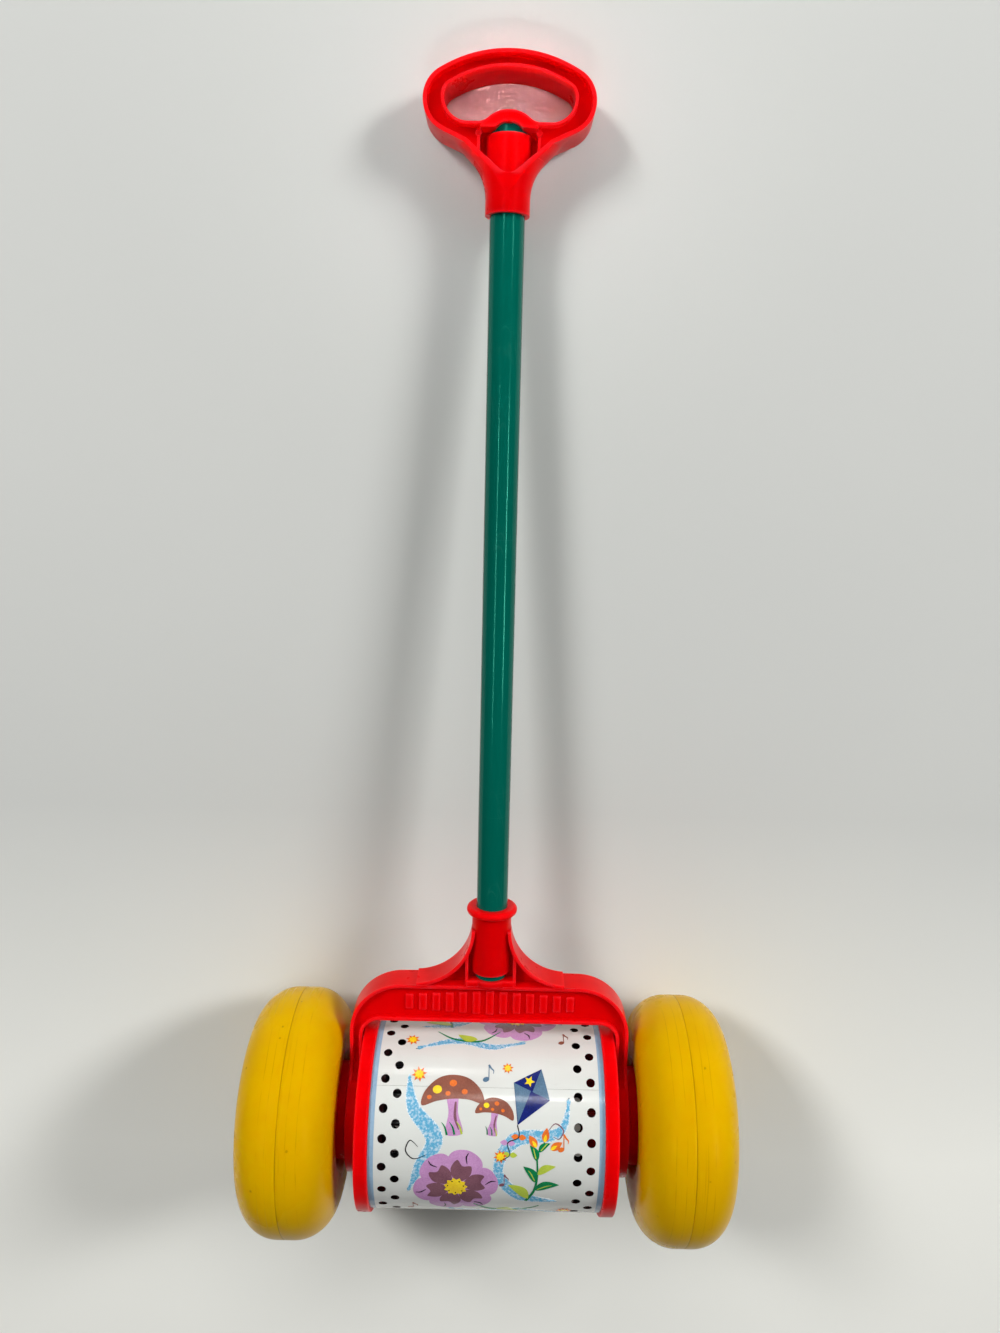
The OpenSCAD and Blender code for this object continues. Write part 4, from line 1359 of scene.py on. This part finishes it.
    def build(self) -> None:
        """Make and dress one film for each ink."""
        self.draw()
        for order, ink in enumerate(Ink):
            piece = self.film_piece(ink, self.first_lift + self.lift_step * order)
            dress(piece, ink.value.material(), Body.ROLLER)


@dataclass
class Roller:
    """The part that rolls: drum, end caps, hubs, wheels, axle and its caps.

    A face of the sheet is printed where its direction agrees with the way out from the axle by more
    than the printed share. The other faces, inside and at the hole rims, are dark as painted shade.
    """

    cap_edge: float = 0.6 * MM
    hub_edge: float = 0.8 * MM
    axle_cap_edge: float = 0.4 * MM
    printed_share: float = 0.7
    artwork: DrumPrint = field(default_factory=DrumPrint)

    def build(self, red: bpy.types.Material, yellow: bpy.types.Material, sheet: bpy.types.Material,
              steel: bpy.types.Material) -> None:
        """Make and dress the pieces of the roller.

        Args:
            red: finish of end caps and hubs.
            yellow: finish of the wheels.
            sheet: finish of the drum sheet.
            steel: finish of the axle and its caps.
        """
        drum = dress(moulded_copy("drum_shell", "drum_sheet", 0.0), sheet, Body.ROLLER)
        self.bare_and_shaded_inside(drum)
        for word in ("left", "right"):
            Wheel.fitted(word + "_wheel").build(word + "_wheel", yellow)
            flange = moulded_copy(word + "_end_cap", word + "_flange", self.cap_edge)
            dress(flange, red, Body.ROLLER)
            spacer = moulded_copy(word + "_hub", word + "_spacer", self.hub_edge)
            dress(spacer, red, Body.ROLLER)
            cap = moulded_copy(word + "_axle_cap", word + "_dome_cap", self.axle_cap_edge, 2)
            dress(cap, steel, Body.ROLLER)
        refinish(("axle",), steel)
        self.artwork.build()

    def bare_and_shaded_inside(self, drum: bpy.types.Object) -> None:
        """Give the inside of the sheet and the rims of its holes a bare finish, darkened as painted shade.

        Args:
            drum: the drum sheet.
        """
        drum.data.materials.append(SHADED_TINPLATE.material())
        for face in drum.data.polygons:
            out = face.center - AXLE
            out.x = 0.0
            # Faces turned inwards, and hole rims, take the dark finish as painted shade
            face.material_index = 0 if face.normal.dot(out.normalized()) > self.printed_share else 1


@dataclass
class Chime:
    """The works inside the drum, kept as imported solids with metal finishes."""

    rods: int = 6
    clappers: int = 3

    def build(self, steel: bpy.types.Material, zinc: bpy.types.Material) -> None:
        """Dress the solids.

        Args:
            steel: finish of rods, pins, clips and screws.
            zinc: finish of block and clappers.
        """
        refinish([f"chime_rod_{i + 1}" for i in range(self.rods)], steel)
        refinish(("clapper_pins", "clapper_clips", "chime_screws"), steel)
        refinish([f"clapper_{i + 1}" for i in range(self.clappers)], zinc)
        refinish(("chime_block",), zinc)


# Stage


@dataclass
class Lamp:
    """One lamp: its place, its aim, its width and height, its power in watts and its spread in degrees.

    A lamp with shine is seen in glossy surfaces only. The others light the scene without a mirror image.
    """

    name: str
    place: Triple
    aim: Triple
    wide: float
    high: float
    power: float
    shine: bool = False
    spread: float = 180.0
    colour: Triple = (1.0, 0.99, 0.97)

    def build(self) -> None:
        """Add the lamp and point it."""
        bpy.ops.object.light_add(type="AREA", location=self.place)
        lamp = bpy.context.object
        lamp.name = self.name
        lamp.data.shape = "RECTANGLE"
        lamp.data.size, lamp.data.size_y = self.wide, self.high
        lamp.data.energy = self.power
        lamp.data.color = self.colour
        lamp.data.spread = math.radians(self.spread)
        lamp.visible_camera = False
        lamp.visible_glossy, lamp.visible_diffuse = self.shine, not self.shine
        lamp.rotation_euler = (Vector(self.aim) - Vector(self.place)).to_track_quat("-Z", "Y").to_euler()


@dataclass
class Studio:
    """Pale floor, soft lamps and the camera at the photograph's place.

    The near floor is painted lighter, as painted light, over a span of places along Y. The floor fades
    into the backdrop over a span of distances from the middle.
    """

    camera_place: Triple = (0.0013, 0.16145, 0.51079)
    camera_forward: Triple = (0.0, -0.2923, -0.9563)
    camera_roll: float = 1.3
    camera_clip: float = 10.0 * MM
    lens: float = 27.03
    sensor: float = 36.0
    floor_size: float = 12.0
    floor_colour: Colour = srgb(197, 199, 197)
    floor_roughness: Span = (0.6, 0.75)
    floor_fade: Span = (0.9, 2.4)
    near_floor_painted_light: Colour = srgb(239, 240, 235)
    near_floor: Span = (-0.08, -0.32)
    paper_cloud: float = 3.0
    paper_cloud_share: float = 0.06
    sky_colour: Colour = srgb(232, 234, 234)
    sky_light: float = 0.1
    sky_seen: float = 0.85
    lamps: tuple[Lamp, ...] = (
        Lamp("left_lamp", (-1.46, 1.6, 1.68), (0.0, -0.05, 0.0), 0.5, 0.8, 50.0),
        Lamp("right_lamp", (2.16, 1.4, 1.49), (0.0, -0.05, 0.0), 0.6, 0.8, 71.0),
        Lamp("top_lamp", (0.0, 2.3, 1.3), (0.0, -0.2, 0.05), 1.4, 0.6, 15.0),
        Lamp("front_fill", (0.0, -1.3, 0.7), (0.0, -0.23, 0.05), 0.8, 0.4, 1.2),
        Lamp("grip_fill", (0.0, -0.35, 0.75), (0.0, 0.275, 0.015), 0.16, 0.1, 0.02, spread=16.0),
        Lamp("hole_fill", (0.0, 0.124, 0.684), (0.0, 0.272, 0.0), 0.03, 0.02, 0.0055, spread=6.0,
             colour=(1.0, 0.48, 0.5)),
        Lamp("left_strip", (-0.7, 0.06, 1.5), (-0.7, 0.06, 0.0), 0.05, 0.68, 4.0, True),
        Lamp("right_strip", (1.28, 0.06, 1.5), (1.28, 0.06, 0.0), 0.05, 0.68, 13.5, True),
        Lamp("left_far_strip", (-0.6, 1.1, 1.5), (-0.6, 1.1, 0.0), 0.06, 0.7, 9.0, True),
        Lamp("right_far_strip", (1.28, 1.1, 1.5), (1.28, 1.1, 0.0), 0.06, 0.7, 9.0, True),
        Lamp("far_strip", (0.135, 1.49, 1.18), (0.03, -0.2, 0.1), 0.34, 0.03, 1.9, True),
        Lamp("low_strip", (-0.13, 1.8, 0.1), (-0.03, -0.2, 0.09), 0.2, 0.03, 1.3, True),
    )

    def build(self) -> None:
        """Set the stage."""
        bpy.context.scene.view_settings.view_transform = "Standard"
        self._floor()
        self._sky()
        for lamp in self.lamps:
            lamp.build()
        self._camera()

    def _floor(self) -> None:
        """Lay a pale paper floor, painted lighter towards the near end as painted light."""
        bpy.ops.object.select_all(action="DESELECT")
        bpy.ops.mesh.primitive_plane_add(size=self.floor_size)
        floor = bpy.context.object
        floor.name = "paper_floor"
        made, w, shader = new_material("Pale paper")
        cloud = w.group(EFFECTS.mottle, scale=self.paper_cloud)
        forward = w.node("SeparateXYZ", {0: w.place()}).outputs["Y"]
        off = w.node("VectorMath", {0: w.place()}, operation="LENGTH").outputs["Value"]
        uneven = w.times(cloud, self.paper_cloud_share)
        # Painted light: the floor lightens towards the near end
        near = w.math("ADD", w.remap(forward, *self.near_floor), uneven, clamp=True)
        far = w.remap(off, *self.floor_fade)
        paper = w.mix(near, self.floor_colour, self.near_floor_painted_light)
        w.feed(shader, "Base Color", w.mix(far, paper, BLANK))
        w.feed(shader, "Emission Color", w.mix(far, BLANK, self.sky_colour))
        w.feed(shader, "Roughness", w.remap(cloud, 0.0, 1.0, *self.floor_roughness))
        shader.inputs["Emission Strength"].default_value = self.sky_seen
        shader.inputs["Specular IOR Level"].default_value = 0.0
        floor.data.materials.append(made)

    def _sky(self) -> None:
        """Light the scene from all round, and show a pale backdrop to the camera."""
        world = bpy.data.worlds.new("Pale room")
        bpy.context.scene.world = world
        world.use_nodes = True
        w = Wiring(world.node_tree)
        path = w.node("LightPath")
        seen = w.most(path.outputs["Is Camera Ray"], path.outputs["Is Transmission Ray"])
        light = world.node_tree.nodes["Background"]
        w.feed(light, "Color", self.sky_colour)
        w.feed(light, "Strength", w.remap(seen, 0.0, 1.0, self.sky_light, self.sky_seen))

    def _camera(self) -> None:
        """Put the camera where the photograph was taken."""
        bpy.ops.object.camera_add(location=self.camera_place)
        camera = bpy.context.object
        camera.name = "photo_camera"
        back = -Vector(self.camera_forward).normalized()
        right = Vector((1.0, 0.0, 0.0))
        up = back.cross(right)
        turn = Matrix.Rotation(math.radians(self.camera_roll), 3, back)
        axes = Matrix((turn @ right, turn @ up, back)).transposed()
        camera.rotation_euler = axes.to_euler()
        camera.data.sensor_width = self.sensor
        camera.data.lens = self.lens
        camera.data.clip_start = self.camera_clip
        bpy.context.scene.camera = camera


def main() -> None:
    """Build the toy and its stage."""
    logging.basicConfig(level=logging.INFO, format="%(name)s: %(message)s")
    red, steel, zinc = RED.material(), STEEL.material(), ZINC.material()
    Pusher().build(red, GREEN.material())
    Roller().build(red, YELLOW.material(), SHEET.material(), steel)
    Chime().build(steel, zinc)
    Studio().build()


if __name__ == "__main__":
    main()
